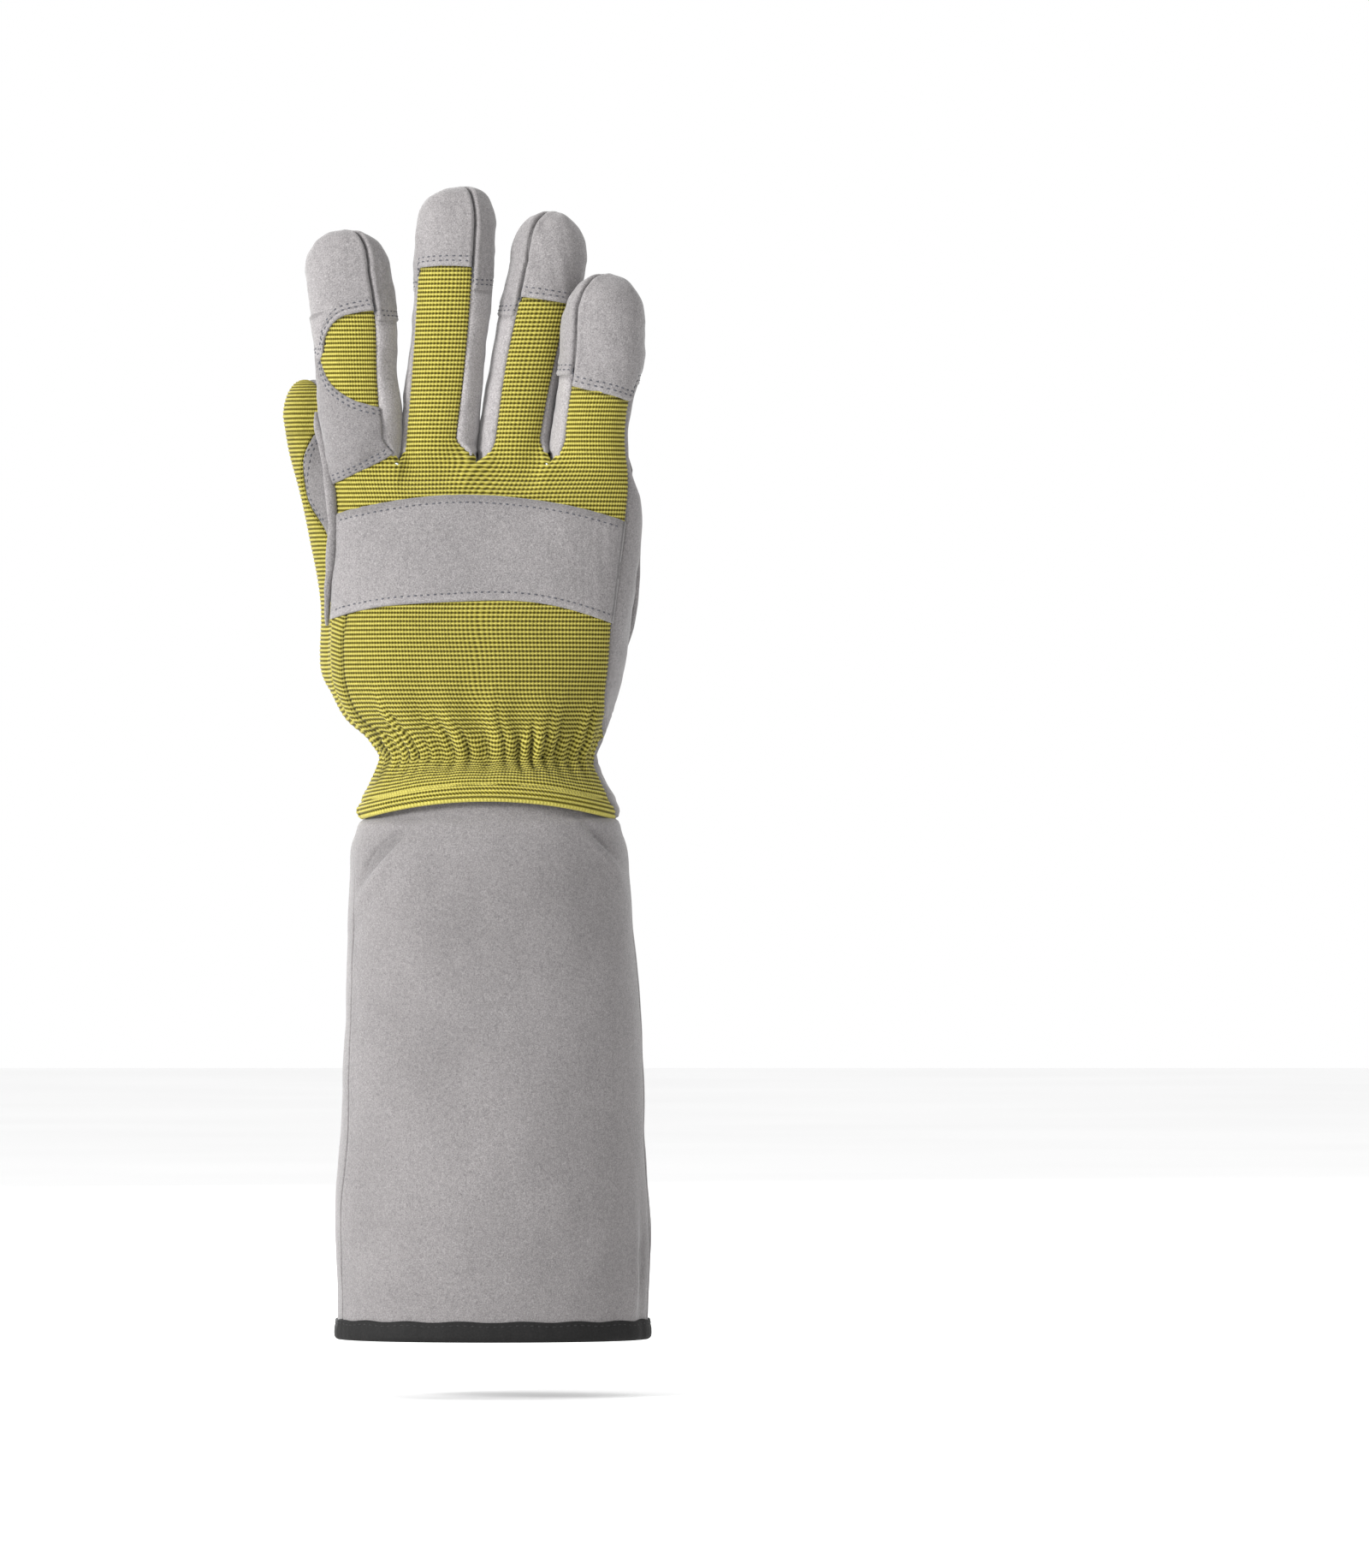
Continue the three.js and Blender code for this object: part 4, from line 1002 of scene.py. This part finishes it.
def thumb_rows(dz):
    high = THUMB["dome"] * THUMB["length"]
    dome = high * np.linspace(0, 1, int(20 / dz))[1:] * 0.985
    return np.concatenate([np.arange(skirt_foot, tip_z, dz), tip_z + dome])


def polar(p):
    return np.arctan2(p[..., 1] / 27.0, (p[..., 0] + 2) / 40.0) % (2 * np.pi)


tr = thumb_rows(FINE)
TP = thumb_grid(tr)[:, : N_OLIVE + 1]
tv = tr[0] + run(np.arange(len(tr))[:, None] * FINE)[:, None] + 0 * TP[..., 0]
tu = run(TP[120])[None, :] + 0 * tv
tz, ta = tr[:, None] + 0 * tu, polar(TP)
tv = tv + rib_shift(ta, tz)
relief = rib_wave(tv) + gathers(ta, tz) + hem_swell(tz) + soft(TP, 41, 0.5, 50)
THUMB_CORE = np.array([-38.0, 14.0, 250.0])


weld("thumb_back", TP, np.ones((len(tr) - 1, N_OLIVE), bool), tv, tu, pleat_shade(ta, tz), relief, gap=FINE,
     material=OLIVE, outward=THUMB_CORE, wall=1.2, edge=1.0, edge_drop=0.8)

tr2 = thumb_rows(WIDE)
TG = thumb_grid(tr2)[:, N_OLIVE:]
gv = tr2[:, None] + 0 * TG[..., 0]
gu = run(TG[90])[None, :] + 0 * gv
mid = (tr2[:-1] + tr2[1:]) / 2
keep = np.ones((len(tr2) - 1, TG.shape[1] - 1), bool)
keep[mid < gather_z + 0.21 * palm_length] = False
inner = (TG[:-1, :-1] + TG[1:, 1:]) / 2
mx, hx, my, hy, pq = palm_at(np.minimum(inner[..., 2], web_z))
sunk = np.abs((inner[..., 0] - mx) / (hx - 1)) ** pq + np.abs((inner[..., 1] - my) / (hy - 1)) ** pq < 1
keep &= (mid[:, None] > 284) | (np.arange(TG.shape[1] - 1)[None, :] < N_GREY) | ((mid[:, None] > 264) & ~sunk)
# painted shade on the inner part's far columns, along the thumb's crescent seam
strip_painted_shade = 0.3 * step(N_GREY + 18, N_GREY + 26, np.arange(TG.shape[1]))[None, :] + 0 * gv
weld("thumb_palm", TG, keep, gv, gu, strip_painted_shade, soft(TG, 43, 0.6, 30), material=SUEDE, outward=THUMB_CORE,
     wall=1.3, edge=1.1, edge_drop=0.8)

for by in (1.3, 2.9):
    path = []
    for r in range(int(np.searchsorted(tr2, 286)), int(np.searchsorted(tr2, 321))):
        d = np.cumsum(np.linalg.norm(np.diff(TG[r, ::-1], axis=0), axis=1))
        path.append(TG[r, -2 - int(np.argmin(np.abs(d - by)))])
    path = np.array(path)
    for c in (0, 1):
        path[3:-3, c] = np.convolve(path[:, c], np.ones(7) / 7, "valid")
    sew("grey", "thumb_palm", path)
for z, kind in ((214.5, 0), (208.5, 1.6), (202.5, 3.1)):
    q = np.linspace(0, 1, 110)
    x = 31 - 42 * q
    zz = z + 1.9 * np.abs((q * 9.5 + kind) % 1 - 0.5) * 4 - 1.9
    sew("pale", "palm_suede", palm(palm_turn(x, zz, False), zz), pitch=1.7, radius=0.2, share=0.75)

# Fingertip caps
for i, f in enumerate(FINGERS):
    cols = 112
    st = seam_turn(f["right"] if i < 2 else f["left"])
    q = np.linspace(-1, 1, cols, endpoint=False)
    turn = (st + np.pi * (0.62 * q**3 + 0.38 * q)) % (2 * np.pi)
    last = web_z + f["rows"][-1][0] * f["length"]
    high = f["dome"] * f["length"]
    low = edge_z(f, turn)
    side = np.linspace(0, 1, 26)[:, None]
    z = low[None, :] + (last - low)[None, :] * side
    dome = last + high * np.linspace(0, 1, 30)[1:, None] * 0.992
    z = np.concatenate([z, dome + 0 * turn[None, :]])
    t = turn[None, :] + 0 * z
    grid = finger(f, t, z)
    rows = len(grid)
    faces = grid_faces(rows, cols, wrap=True)
    tip = grid[-1].mean(0, keepdims=True)
    tip[0, 2] += 0.12
    ring = (rows - 1) * cols + np.arange(cols)
    cap_faces = np.stack([ring, np.roll(ring, -1), np.full(cols, rows * cols), np.full(cols, rows * cols)], 1)
    verts = np.concatenate([grid.reshape(-1, 3), tip])
    core = np.repeat(np.array([[tip[0, 0], tip[0, 1], last - 5]]), len(verts), axis=0)
    grooves = []
    for d in (1.9, 3.5):
        zz = edge_z(f, turn, d)
        p = finger(f, turn, zz)
        grooves.append(along(closed(p), 0.5))
    zz = np.concatenate([np.linspace(float(edge_z(f, st)) - 3, last, 30),
                         last + high * np.linspace(0, 0.97, 30)[1:]])
    # the seam leans over the tip towards the middle of the dome
    seam = finger(f, np.full(len(zz), st), zz)
    r = soft(verts, 51 + i, 0.4, 18)
    away = near(verts, along(seam, 0.4))
    r = r - 1.25 * hump(away, 0.55) + 0.35 * hump(away - 1.6, 1.0)
    rise = verts[:, 2] - np.concatenate([np.broadcast_to(low, z.shape).ravel(), [0]])
    # painted shade along the seam, and painted light on the lip just above the cap's edge
    dark = 0.8 * hump(away, 0.4) - 0.22 * step(2.0, 1.0, rise)
    Cloth(f["name"] + "_cap", verts, np.concatenate([faces, cap_faces]), SUEDE_CAP, core, wall=1.1, lift=0.75,
          relief=r, attrs=dict(painted_shading=dark), grooves=grooves, groove_depth=0.28, groove_wide=0.6,
          edge=0.7, edge_drop=0.55)
    for g in grooves:
        sew("grey", f["name"] + "_cap", g)


# Patches laid over the cloth
def patch(name, grid, material, rows, relief, **k):
    """A patch from a grid of points; each stitch row is a path of points on it."""
    Cloth(name, grid.reshape(-1, 3), grid_faces(*grid.shape[:2]), material, MID, relief=relief.ravel(),
          grooves=rows, **k)
    for path in rows:
        sew("grey", name, path)


# strap over the knuckles
strap_top, strap_bow, strap_height = gather_z + 0.8 * palm_length + 1.2, 0.075 * palm_length, 36.5


def strap_point(s, t):
    """s from the thumb side to the little side, t from the lower to the upper edge."""
    bow = strap_bow * (1 - (2 * s - 0.98) ** 2)
    x = ((-0.527 + 0.922 * s) * (1 - t) + (-0.507 + 0.943 * s) * t) * palm_width
    z = (strap_top - strap_height + bow) * (1 - t) + (strap_top + bow - 0.02 * palm_length * (s - 0.5)) * t
    z = z + 0.7 * np.sin(s * 9 + 1 + 2 * t) * (1 - t)
    p = palm(palm_turn(x, z, True), z)
    # near the webs the cloth below leans towards the fingers, and the strap rides over it
    r = np.clip((z - back_rows[0]) / FINE, 0, len(back_rows) - 2).astype(int)
    i = np.argmin(np.abs(BP[r][..., 0] - x[..., None]), axis=-1)
    p[..., 1] = np.minimum(p[..., 1], BP[r, i][..., 1])
    return p


s, t = np.meshgrid(np.linspace(0.004, 1, 120), np.linspace(0, 1, 52))
grid = strap_point(s, t)
rows = [along(strap_point(np.linspace(0.02, 0.985, 90), np.full(90, q)), 0.5) for q in (0.075, 0.925)]
# painted shade in a band along the upper edge and in a line at the little-finger end, and painted light along
# the lower edge
strap_painted_shading = 0.2 * step(0.92, 0.96, t) - 0.2 * step(0.075, 0.04, t) + 0.6 * hump(s - 0.992, 0.004)
relief = bulk(grid) + soft(grid, 61, 0.22, 24) - 0.9 * step(0.97, 1, s)
patch("knuckle_strap", grid, SUEDE, rows, relief, lift=1.3, wall=1.0, edge=0.8, edge_drop=0.5,
      attrs=dict(painted_shading=strap_painted_shading.ravel()))

# panel round the index finger, with the D-shaped window
f = FINGERS[0]
window = [(0.52, 0.235), (0.2, 0.25), (-0.15, 0.27), (-0.66, 0.335), (-0.88, 0.42), (-0.94, 0.5),
          (-0.88, 0.575), (-0.62, 0.65), (0.02, 0.68), (0.52, 0.685)]  # share across the finger and up it


def on_index(c, z):
    """Point on the index finger's back: c columns from its thumb side, z height."""
    r = np.clip((np.asarray(z, float) - back_rows[0]) / FINE, 0, len(back_rows) - 1.001)
    c = np.clip(np.asarray(c, float), 0, COLS - 1.001)
    i, j = r.astype(int), c.astype(int)
    a, b = (r - i)[..., None], (c - j)[..., None]
    return (BP[i, j] * (1 - a) * (1 - b) + BP[i + 1, j] * a * (1 - b) + BP[i, j + 1] * (1 - a) * b
            + BP[i + 1, j + 1] * a * b)


span = seam_turn(f["right"]) - np.pi
EDGE_D = (np.linspace(0, 1, len(window)), [(seam_turn(x) - np.pi) / span * (COLS - 1) for x, _ in window],
          [web_z + up * f["length"] for _, up in window])
EDGE_SIDE = ([0, 0.1, 0.2, 0.3, 0.42, 0.55, 0.7, 0.85, 1.0], [COLS - 1, 20.5, 15, 8, 0.3, 0, 0, 0, 0],
             [310.2, 306.5, 303, 300.3, 300, 314, 330, 345, 358.5])
s, t = np.meshgrid(np.linspace(0, 1, 130), np.linspace(0, 1, 34))
c, z = [curve(EDGE_D[0], EDGE_D[k], s) * (1 - t) + curve(EDGE_SIDE[0], EDGE_SIDE[k], s) * t for k in (1, 2)]
grid = on_index(c, z)


def wrap_row(edge, other, away, share=1.0):
    """A stitch row away mm inside one edge of the panel, for a share of its length."""
    q = np.linspace(0, share, 120)
    p, o = [on_index(curve(s, c, q), curve(s, z, q)) for s, c, z in (edge, other)]
    wide = np.linalg.norm(o - p, axis=1, keepdims=True)
    return along(p + (o - p) / np.maximum(wide, 0.1) * np.minimum(away, wide * 0.45), 0.5)


rows = [wrap_row(EDGE_D, EDGE_SIDE, 1.3), wrap_row(EDGE_D, EDGE_SIDE, 2.9, 0.93),
        wrap_row(EDGE_SIDE, EDGE_D, 1.4, 0.4), wrap_row(EDGE_SIDE, EDGE_D, 3.0, 0.4)]
# painted shade: the whole panel is evenly darkened
patch("index_wrap", grid, SUEDE, rows, soft(grid, 63, 0.35, 20), lift=1.0, wall=0.9, edge=0.7, edge_drop=0.45,
      attrs=dict(painted_shading=np.full(grid[..., 0].size, 0.14)))


# scalloped pad under the fingers
def palm_face(x, z):
    """The palm side at x and z: the palm, then the finger fronts above the webs."""
    x, z = np.broadcast_arrays(np.asarray(x, float), np.asarray(z, float))
    mx, hx, my, hy, p = palm_at(z)
    q = np.clip(np.abs((x - mx) / hx), 0, 0.985)
    y = my + hy * (1 - q**p) ** (1 / p)
    best = y - 14 * step(web_z - 6, web_z + 8, z)
    for f in FINGERS:
        fx, fh, fy, fd, _ = tube(f, z)
        q = np.abs((x - fx) / fh)
        yf = fy + fd * (1 - np.clip(q, 0, 1) ** 2.2) ** (1 / 2.2)
        yf = yf - 30 * step(web_z - 6, web_z - 22, z) - 6 * (q > 1)
        best = 0.5 * (best + yf + np.sqrt((best - yf) ** 2 + 6))
    return np.stack([x, best, z], -1)


lobes = [(0.335, 0.105, 1.0, 1.15), (0.083, 0.11, 1.0, 1.13), (-0.16, 0.115, 1.045, 1.165),
         (-0.405, 0.115, 1.05, 1.2)]  # middle, half width, valley, peak
# lower edge of the pad
foot = [(-0.52, 1.0), (-0.44, 0.985), (-0.3, 0.955), (-0.24, 0.91), (-0.1, 0.882), (0.09, 0.88), (0.3, 0.872),
        (0.46, 0.885)]


def scallop(x):
    a = x / palm_width
    top = np.full_like(a, 0.985)
    for m, h, valley, peak in lobes:
        q = np.clip(1 - ((a - m) / h) ** 2, 0, 1)
        top = np.maximum(top, valley + (peak - valley) * q**0.6)
    top = np.where(a > 0.4, np.minimum(top, 1.1 - 60 * np.clip(a - 0.4, 0, 1) ** 2), top)
    return gather_z + top * palm_length


def pad_point(x, t):
    low = gather_z + curve([r[0] for r in foot], [r[1] for r in foot], x / palm_width) * palm_length
    return palm_face(x, low + (scallop(x) - low) * t)


xs = np.linspace(-0.487, 0.449, 200) * palm_width
x, t = np.meshgrid(xs, np.linspace(0, 1, 56))
grid = pad_point(x, t)
under = PIECES["palm_suede"]
facing = under.outer[(under.normal[:, 1] > 0.15) & (under.outer[:, 2] > 280)]
tree = tree_of([(q[0], 0, q[2]) for q in facing])
lie = np.zeros(x.shape)
for i in np.ndindex(*x.shape):
    hits = tree.find_range((grid[i][0], 0, grid[i][2]), 2.4) or [tree.find((grid[i][0], 0, grid[i][2]))]
    lie[i] = max(facing[h[1], 1] for h in hits)
for _ in range(10):
    wide = np.pad(lie, 1, "edge")
    lie = (wide[:-2, 1:-1] + wide[2:, 1:-1] + wide[1:-1, :-2] + wide[1:-1, 2:]) / 4
grid[..., 1] = lie
ring = np.concatenate([
    [pad_point(q, 0.0) for q in np.linspace(xs[2], xs[-3], 220)],
    [pad_point(xs[-3], q) for q in np.linspace(0.05, 0.95, 12)],
    [pad_point(q, 1.0) for q in np.linspace(xs[-3], xs[2], 400)]])


def inset(path, by):
    """A closed path on the palm side moved inwards in X and Z."""
    p = along(path, 0.6)
    d = np.roll(p, -2, 0) - np.roll(p, 2, 0)
    n = unit(np.stack([-d[:, 2], d[:, 0]], 1), 1e-9)
    area = np.sum(p[:, 0] * np.roll(p[:, 2], -1) - np.roll(p[:, 0], -1) * p[:, 2])
    n = n if area > 0 else -n
    k = np.hanning(9)
    k /= k.sum()
    q = p.copy()
    q[:, [0, 2]] += n * by
    for c in (0, 2):
        q[:, c] = np.convolve(np.concatenate([q[-4:, c], q[:, c], q[:4, c]]), k, "valid")
    return palm_face(q[:, 0], q[:, 2])


patch("palm_pad", grid, SUEDE_PAD, [inset(ring, 1.5), inset(ring, 3.4)], soft(grid, 65, 0.4, 26), lift=1.5,
      wall=1.3, edge=1.1, edge_drop=0.8)

# padded heel
# outline of the heel pad: height and turn
heel = [(0.73, 12), (0.785, 26), (0.825, 52), (0.848, 78), (0.857, 98), (0.86, 108), (0.825, 112.5),
        (0.7, 108), (0.5, 104), (0.4, 100), (0.3, 90), (0.235, 72), (0.215, 55), (0.23, 38), (0.31, 24),
        (0.45, 12), (0.6, 8)]
n = 132
u = np.linspace(0, len(heel), n, endpoint=False)
ext = heel[-2:] + heel + heel[:3]
ups, turns = [curve(range(-2, len(heel) + 3), column, u) for column in zip(*ext)]
share = np.concatenate([[0.012], np.linspace(0.05, 1, 40)])[:, None]
up = 0.53 + share * (ups[None, :] - 0.53)
turn = (60 + share * (turns[None, :] - 60)) * RAD
grid = palm(turn, gather_z + up * palm_length)
away = near(grid.reshape(-1, 3), along(closed(grid[-1]), 0.4)).reshape(grid.shape[:2])
puff = 1.3 + 4.4 * (1 - np.exp(-np.clip(away - 5.6, 0, 50) / 6.0))
puff += 0.5 * step(2, 4, away) * step(5.6, 4, away)
corner = np.array([palm(108 * RAD, gather_z + 0.855 * palm_length)])
curl = 3.2 * hump(near(grid.reshape(-1, 3), corner).reshape(away.shape), 7.0)
rows = []
for by in (2.5, 5.2):
    k = np.argmin(np.abs(away - by), axis=0)
    p = grid[k, np.arange(n)]
    rows.append(along(closed(p), 0.5))
faces = grid_faces(len(grid), n, wrap=True)
centre = len(grid) * n
ringi = np.arange(n)
verts = np.concatenate([grid.reshape(-1, 3), grid[0].mean(0, keepdims=True)])
capf = np.stack([np.roll(ringi, -1), ringi, np.full(n, centre), np.full(n, centre)], 1)
relief = np.concatenate([(puff + curl + soft(grid, 67, 0.5, 30)).ravel(), [4.8]])
Cloth("heel_pad", verts, np.concatenate([faces, capf]), SUEDE_PAD, wall=0.6, lift=0.5, relief=relief,
      grooves=rows, groove_depth=0.5, groove_wide=0.8, edge=0.9, edge_drop=0.6, outward=MID)
for r in rows:
    sew("grey", "heel_pad", r)

# Sleeve
hem_lift = 1.6


def cuff_at(z):
    zs = [hem_lift + r[0] * (cuff_length - hem_lift) for r in cuff_rows]
    zs += [cuff_length + 1.9, cuff_length + 15.5]
    tuck = [2 * (fl * skirt_flare - 3.5) for fl in (0.92, 0.35)]
    cols = [[r[2] * hem_width / 2 for r in cuff_rows] + [(wrist_width + t) / 2 for t in tuck],
            [r[3] * hem_depth / 2 for r in cuff_rows] + [(wrist_depth + t) / 2 for t in tuck],
            [r[1] * hem_width for r in cuff_rows] + [wrist_x] * 2]
    return [curve(zs, c, z) for c in cols]


def cuff_point(turn, z):
    hx, hy, mx = cuff_at(z)
    x, y = oval(turn, hx, hy, 2.1)
    return np.stack(np.broadcast_arrays(mx + x, y, z + 0 * x), -1)


def sleeve_folds(p, turn):
    d = turn / RAD % 360
    z = p[..., 2]
    out = np.zeros(z.shape)
    for a, z0, tilt, wide, tall, deep in [
            (219, 170, 0.6, 13, 3.6, -3.2), (214, 161, 0.6, 14, 4.5, 1.2), (238, 165, 0.5, 10, 7, 0.9),
            (326, 175, -0.7, 9, 2.6, -2.0), (331, 168, -0.7, 11, 4, 1.1), (334, 18, 0, 3.4, 20, 1.3),
            (341, 22, 0, 4.5, 24, -1.3), (214, 40, 0.2, 9, 30, -0.5), (262, 150, 0.1, 40, 16, -0.7),
            (300, 118, 0.0, 34, 26, 0.7), (236, 96, 0.1, 30, 30, -0.6), (290, 52, 0.0, 40, 24, 0.6),
            (330, 16, 0.35, 14, 9, 1.0), (340, 24, 0.5, 10, 12, -0.9), (205, 150, 0.6, 12, 8, -0.8),
            (120, 164, -0.35, 30, 5, -1.2), (75, 160, 0.3, 26, 6, -0.9), (100, 110, 0.0, 40, 24, 0.8),
            (60, 60, 0.1, 34, 22, -0.6), (130, 40, 0.0, 34, 22, 0.5)]:
        da = (d - a + 180) % 360 - 180
        dz = z - z0 - tilt * da
        out += deep * hump(da, wide) * hump(dz, tall)
    out += 0.7 * waves(p, 75, 71, 2) + 0.16 * waves(p, 22, 72, 2)
    shoulder = 1.5 * hump(z - 180.2, 2.5) * step(skirt_foot, 181.4, z) * np.abs(np.cos(turn)) ** 0.7
    return out * (0.35 + 0.65 * step(4, 24, z)) * step(196, 178, z) + shoulder


side_l, side_r = 196.2, 353.0


def side_groove(turn, z):
    """Side seams of the sleeve: their relief and the painted shade in their grooves."""
    d = turn / RAD % 360
    a = (d - side_l - 0.8 * np.sin(z / 40)) * 0.9
    b = (d - side_r) * 0.9
    cut = hump(a, 0.55) * step(168, 120, z)
    relief = -1.1 * cut + 0.4 * hump(a - 2.4, 1.5) * step(150, 110, z)
    other = hump(b, 0.6) * step(150, 120, z)
    return relief - 0.7 * other, 0.7 * cut + 0.5 * other


close = np.array([-2.4, -1.5, -1.0, -0.6, -0.3, 0, 0.3, 0.6, 1.0, 1.5, 2.4])
turn = np.concatenate([np.linspace(0, 360, 190, endpoint=False), side_l + close, side_r + close])
turn = np.sort(turn) * RAD
z = np.linspace(1.5, 196, 150)[:, None] + 0 * turn[None, :]
t = turn[None, :] + 0 * z
grid = cuff_point(t, z)
seam, dark = side_groove(t, z)
folds = sleeve_folds(grid, t)
# painted shade in the folds' valleys and painted light on their ridges
dark = dark + 0.085 * np.clip(-folds, -1.2, 3)
Cloth("cuff", grid.reshape(-1, 3), grid_faces(len(grid), len(turn), wrap=True), SUEDE_CUFF, wall=1.7,
      relief=(folds + seam).ravel(), attrs=dict(painted_shading=dark.ravel()), edge=0.8, edge_drop=0.4,
      outward=np.array([0.0, 0.0, 100.0]))

# binding round the hem: a folded tape with rounded foot
h = binding_height
profile = [  # height and distance from the sleeve
    (h, 0.05), (h - 0.15, 0.7), (h - 0.6, 0.95), (h - 1.5, 0.85), (h - 2.2, 1.05), (h * 0.55, 1.3),
    (h * 0.3, 1.35), (1.2, 1.25), (0.5, 0.9), (0.12, 0.3), (0.0, -0.6), (0.0, -1.4), (0.12, -2.4),
    (0.5, -3.0), (1.2, -3.35), (h * 0.3, -3.45), (h * 0.7, -3.4), (h - 0.5, -3.2), (h, -2.6), (h, -1.9),
    (h - 1.5, -1.9), (h - 1.5, 0.0)]
turn = np.linspace(0, 2 * np.pi, 300, endpoint=False)
hx, hy, mx = [float(a) for a in cuff_at(hem_lift)]
base = cuff_point(turn, np.full(300, hem_lift))
fold = sleeve_folds(base, turn)
rings = []
for z0, off in profile:
    ripple = 0.06 * np.sin(turn * 61 + 2 * np.sin(turn * 9)) + 0.1 * np.sin(turn * 23)
    o = off + fold * 0.6 + ripple * (1 if off > 0.5 else 0.3)
    x, y = oval(turn, hx + o, hy + o, 2.1)
    rise = 0.25 * np.sin(turn * 17) * (z0 > 4)
    rings.append(np.stack([mx + x, y, z0 + rise], -1))
rings = np.array(rings)
idx = np.arange(len(rings) * 300).reshape(len(rings), 300)
a, b = idx, np.roll(idx, -1, 0)
faces = np.stack([a, b, np.roll(b, -1, 1), np.roll(a, -1, 1)], -1).reshape(-1, 4)
nn = normals(rings.reshape(-1, 3), faces)
if np.sum(nn[: 300 * 6] * (rings[:6].reshape(-1, 3) - np.array([0, 0, 4.0]))) < 0:
    faces = faces[:, ::-1]


verts = rings.reshape(-1, 3)
Sewn("hem_binding", verts, faces, make("hem_binding_sewn", verts, faces, BLACK, None, "hem_binding"))
sew("dark", "hem_binding", closed(rings[3]), pitch=2.6, radius=0.28)

# Folded seam at the thumb side of the back
ridge_line = np.array([
    (-57.6, -2.0, 250), (-57.2, -4.5, 262), (-55.8, -6.0, 274), (-55.4, -6.5, 286),
    (-56.2, -6.0, 297), (-58.0, -4.0, 309), (-60.2, -1.0, 318), (-61.6, 2.0, 325)])
s = np.linspace(0, len(ridge_line) - 1, 90)
path = np.stack([curve(range(len(ridge_line)), ridge_line[:, c], s) for c in range(3)], 1)
tang = unit(np.gradient(path, axis=0))
out = path - np.array([-20.0, 8.0, 0])
out[:, 2] = 0
out = unit(out - tang * np.sum(out * tang, 1, keepdims=True))
bi = np.cross(tang, out)
turn = np.linspace(0, 2 * np.pi, 14, endpoint=False)
fat = np.sin(np.linspace(0.02, 0.98, 90) * np.pi) ** 0.35
lip = np.array([
    path[k] + fat[k] * (np.outer(np.cos(turn) * 1.9 + 0.4, out[k]) + np.outer(np.sin(turn) * 1.15, bi[k]))
    for k in range(90)]).reshape(-1, 3)
lf = grid_faces(90, 14, wrap=True)
if np.sum(normals(lip, lf) * (lip - np.repeat(path, 14, axis=0))) < 0:
    lf = flipped(lf)
lip += normals(lip, lf) * (0.3 * waves(lip, 16, 81, 2))[:, None]
ends = [(r, r + q, r + q + 1, r + q + 1) for r in (0, 89 * 14) for q in range(1, 13)]
lf = np.concatenate([lf, np.array(ends)])
Sewn("thumb_side_fold", lip, lf, make("thumb_side_fold_sewn", lip, lf, SUEDE))

for kind, material in (("grey", THREAD), ("dark", DARK), ("pale", PALE)):
    stitch_mesh(kind, material)

# Studio
world = bpy.data.worlds.new("studio")
bpy.context.scene.world = world
world.use_nodes = True
world.node_tree.nodes["Background"].inputs["Color"].default_value = (1, 1, 1, 1)
world.node_tree.nodes["Background"].inputs["Strength"].default_value = 1.0


def lamp(name, place, aim, power, size):
    data = bpy.data.lights.new(name, "AREA")
    data.energy = power
    data.shape = "DISK"
    data.size = size
    obj = bpy.data.objects.new(name, data)
    bpy.context.scene.collection.objects.link(obj)
    obj.location = place
    obj.rotation_euler = (Vector(aim) - Vector(place)).to_track_quat("-Z", "Y").to_euler()


lamp("key", (-1.95, -1.45, 0.95), (0, 0, 0.2), 88, 0.8)
lamp("back", (-0.7, 2.3, 0.9), (0, 0, 0.2), 38, 1.0)

mat, t, out = nodes_of("pale_floor")
n = node(t, "ShaderNodeTexNoise", Scale=3, Detail=2)
t.links.new(node(t, "ShaderNodeTexCoord").outputs["Object"], n.inputs["Vector"])
t.links.new(ramp(t, n.outputs["Fac"], [(0.3, 0.9), (0.7, 0.93)]), out.inputs["Base Color"])
out.inputs["Roughness"].default_value = 0.9
mesh = bpy.data.meshes.new("floor")
mesh.from_pydata([(-6, -6, -0.02), (6, -6, -0.02), (6, 6, -0.02), (-6, 6, -0.02)], [], [(0, 1, 2, 3)])
mesh.materials.append(mat)
floor = bpy.data.objects.new("floor", mesh)
bpy.context.scene.collection.objects.link(floor)
floor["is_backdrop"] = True

lo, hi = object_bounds()
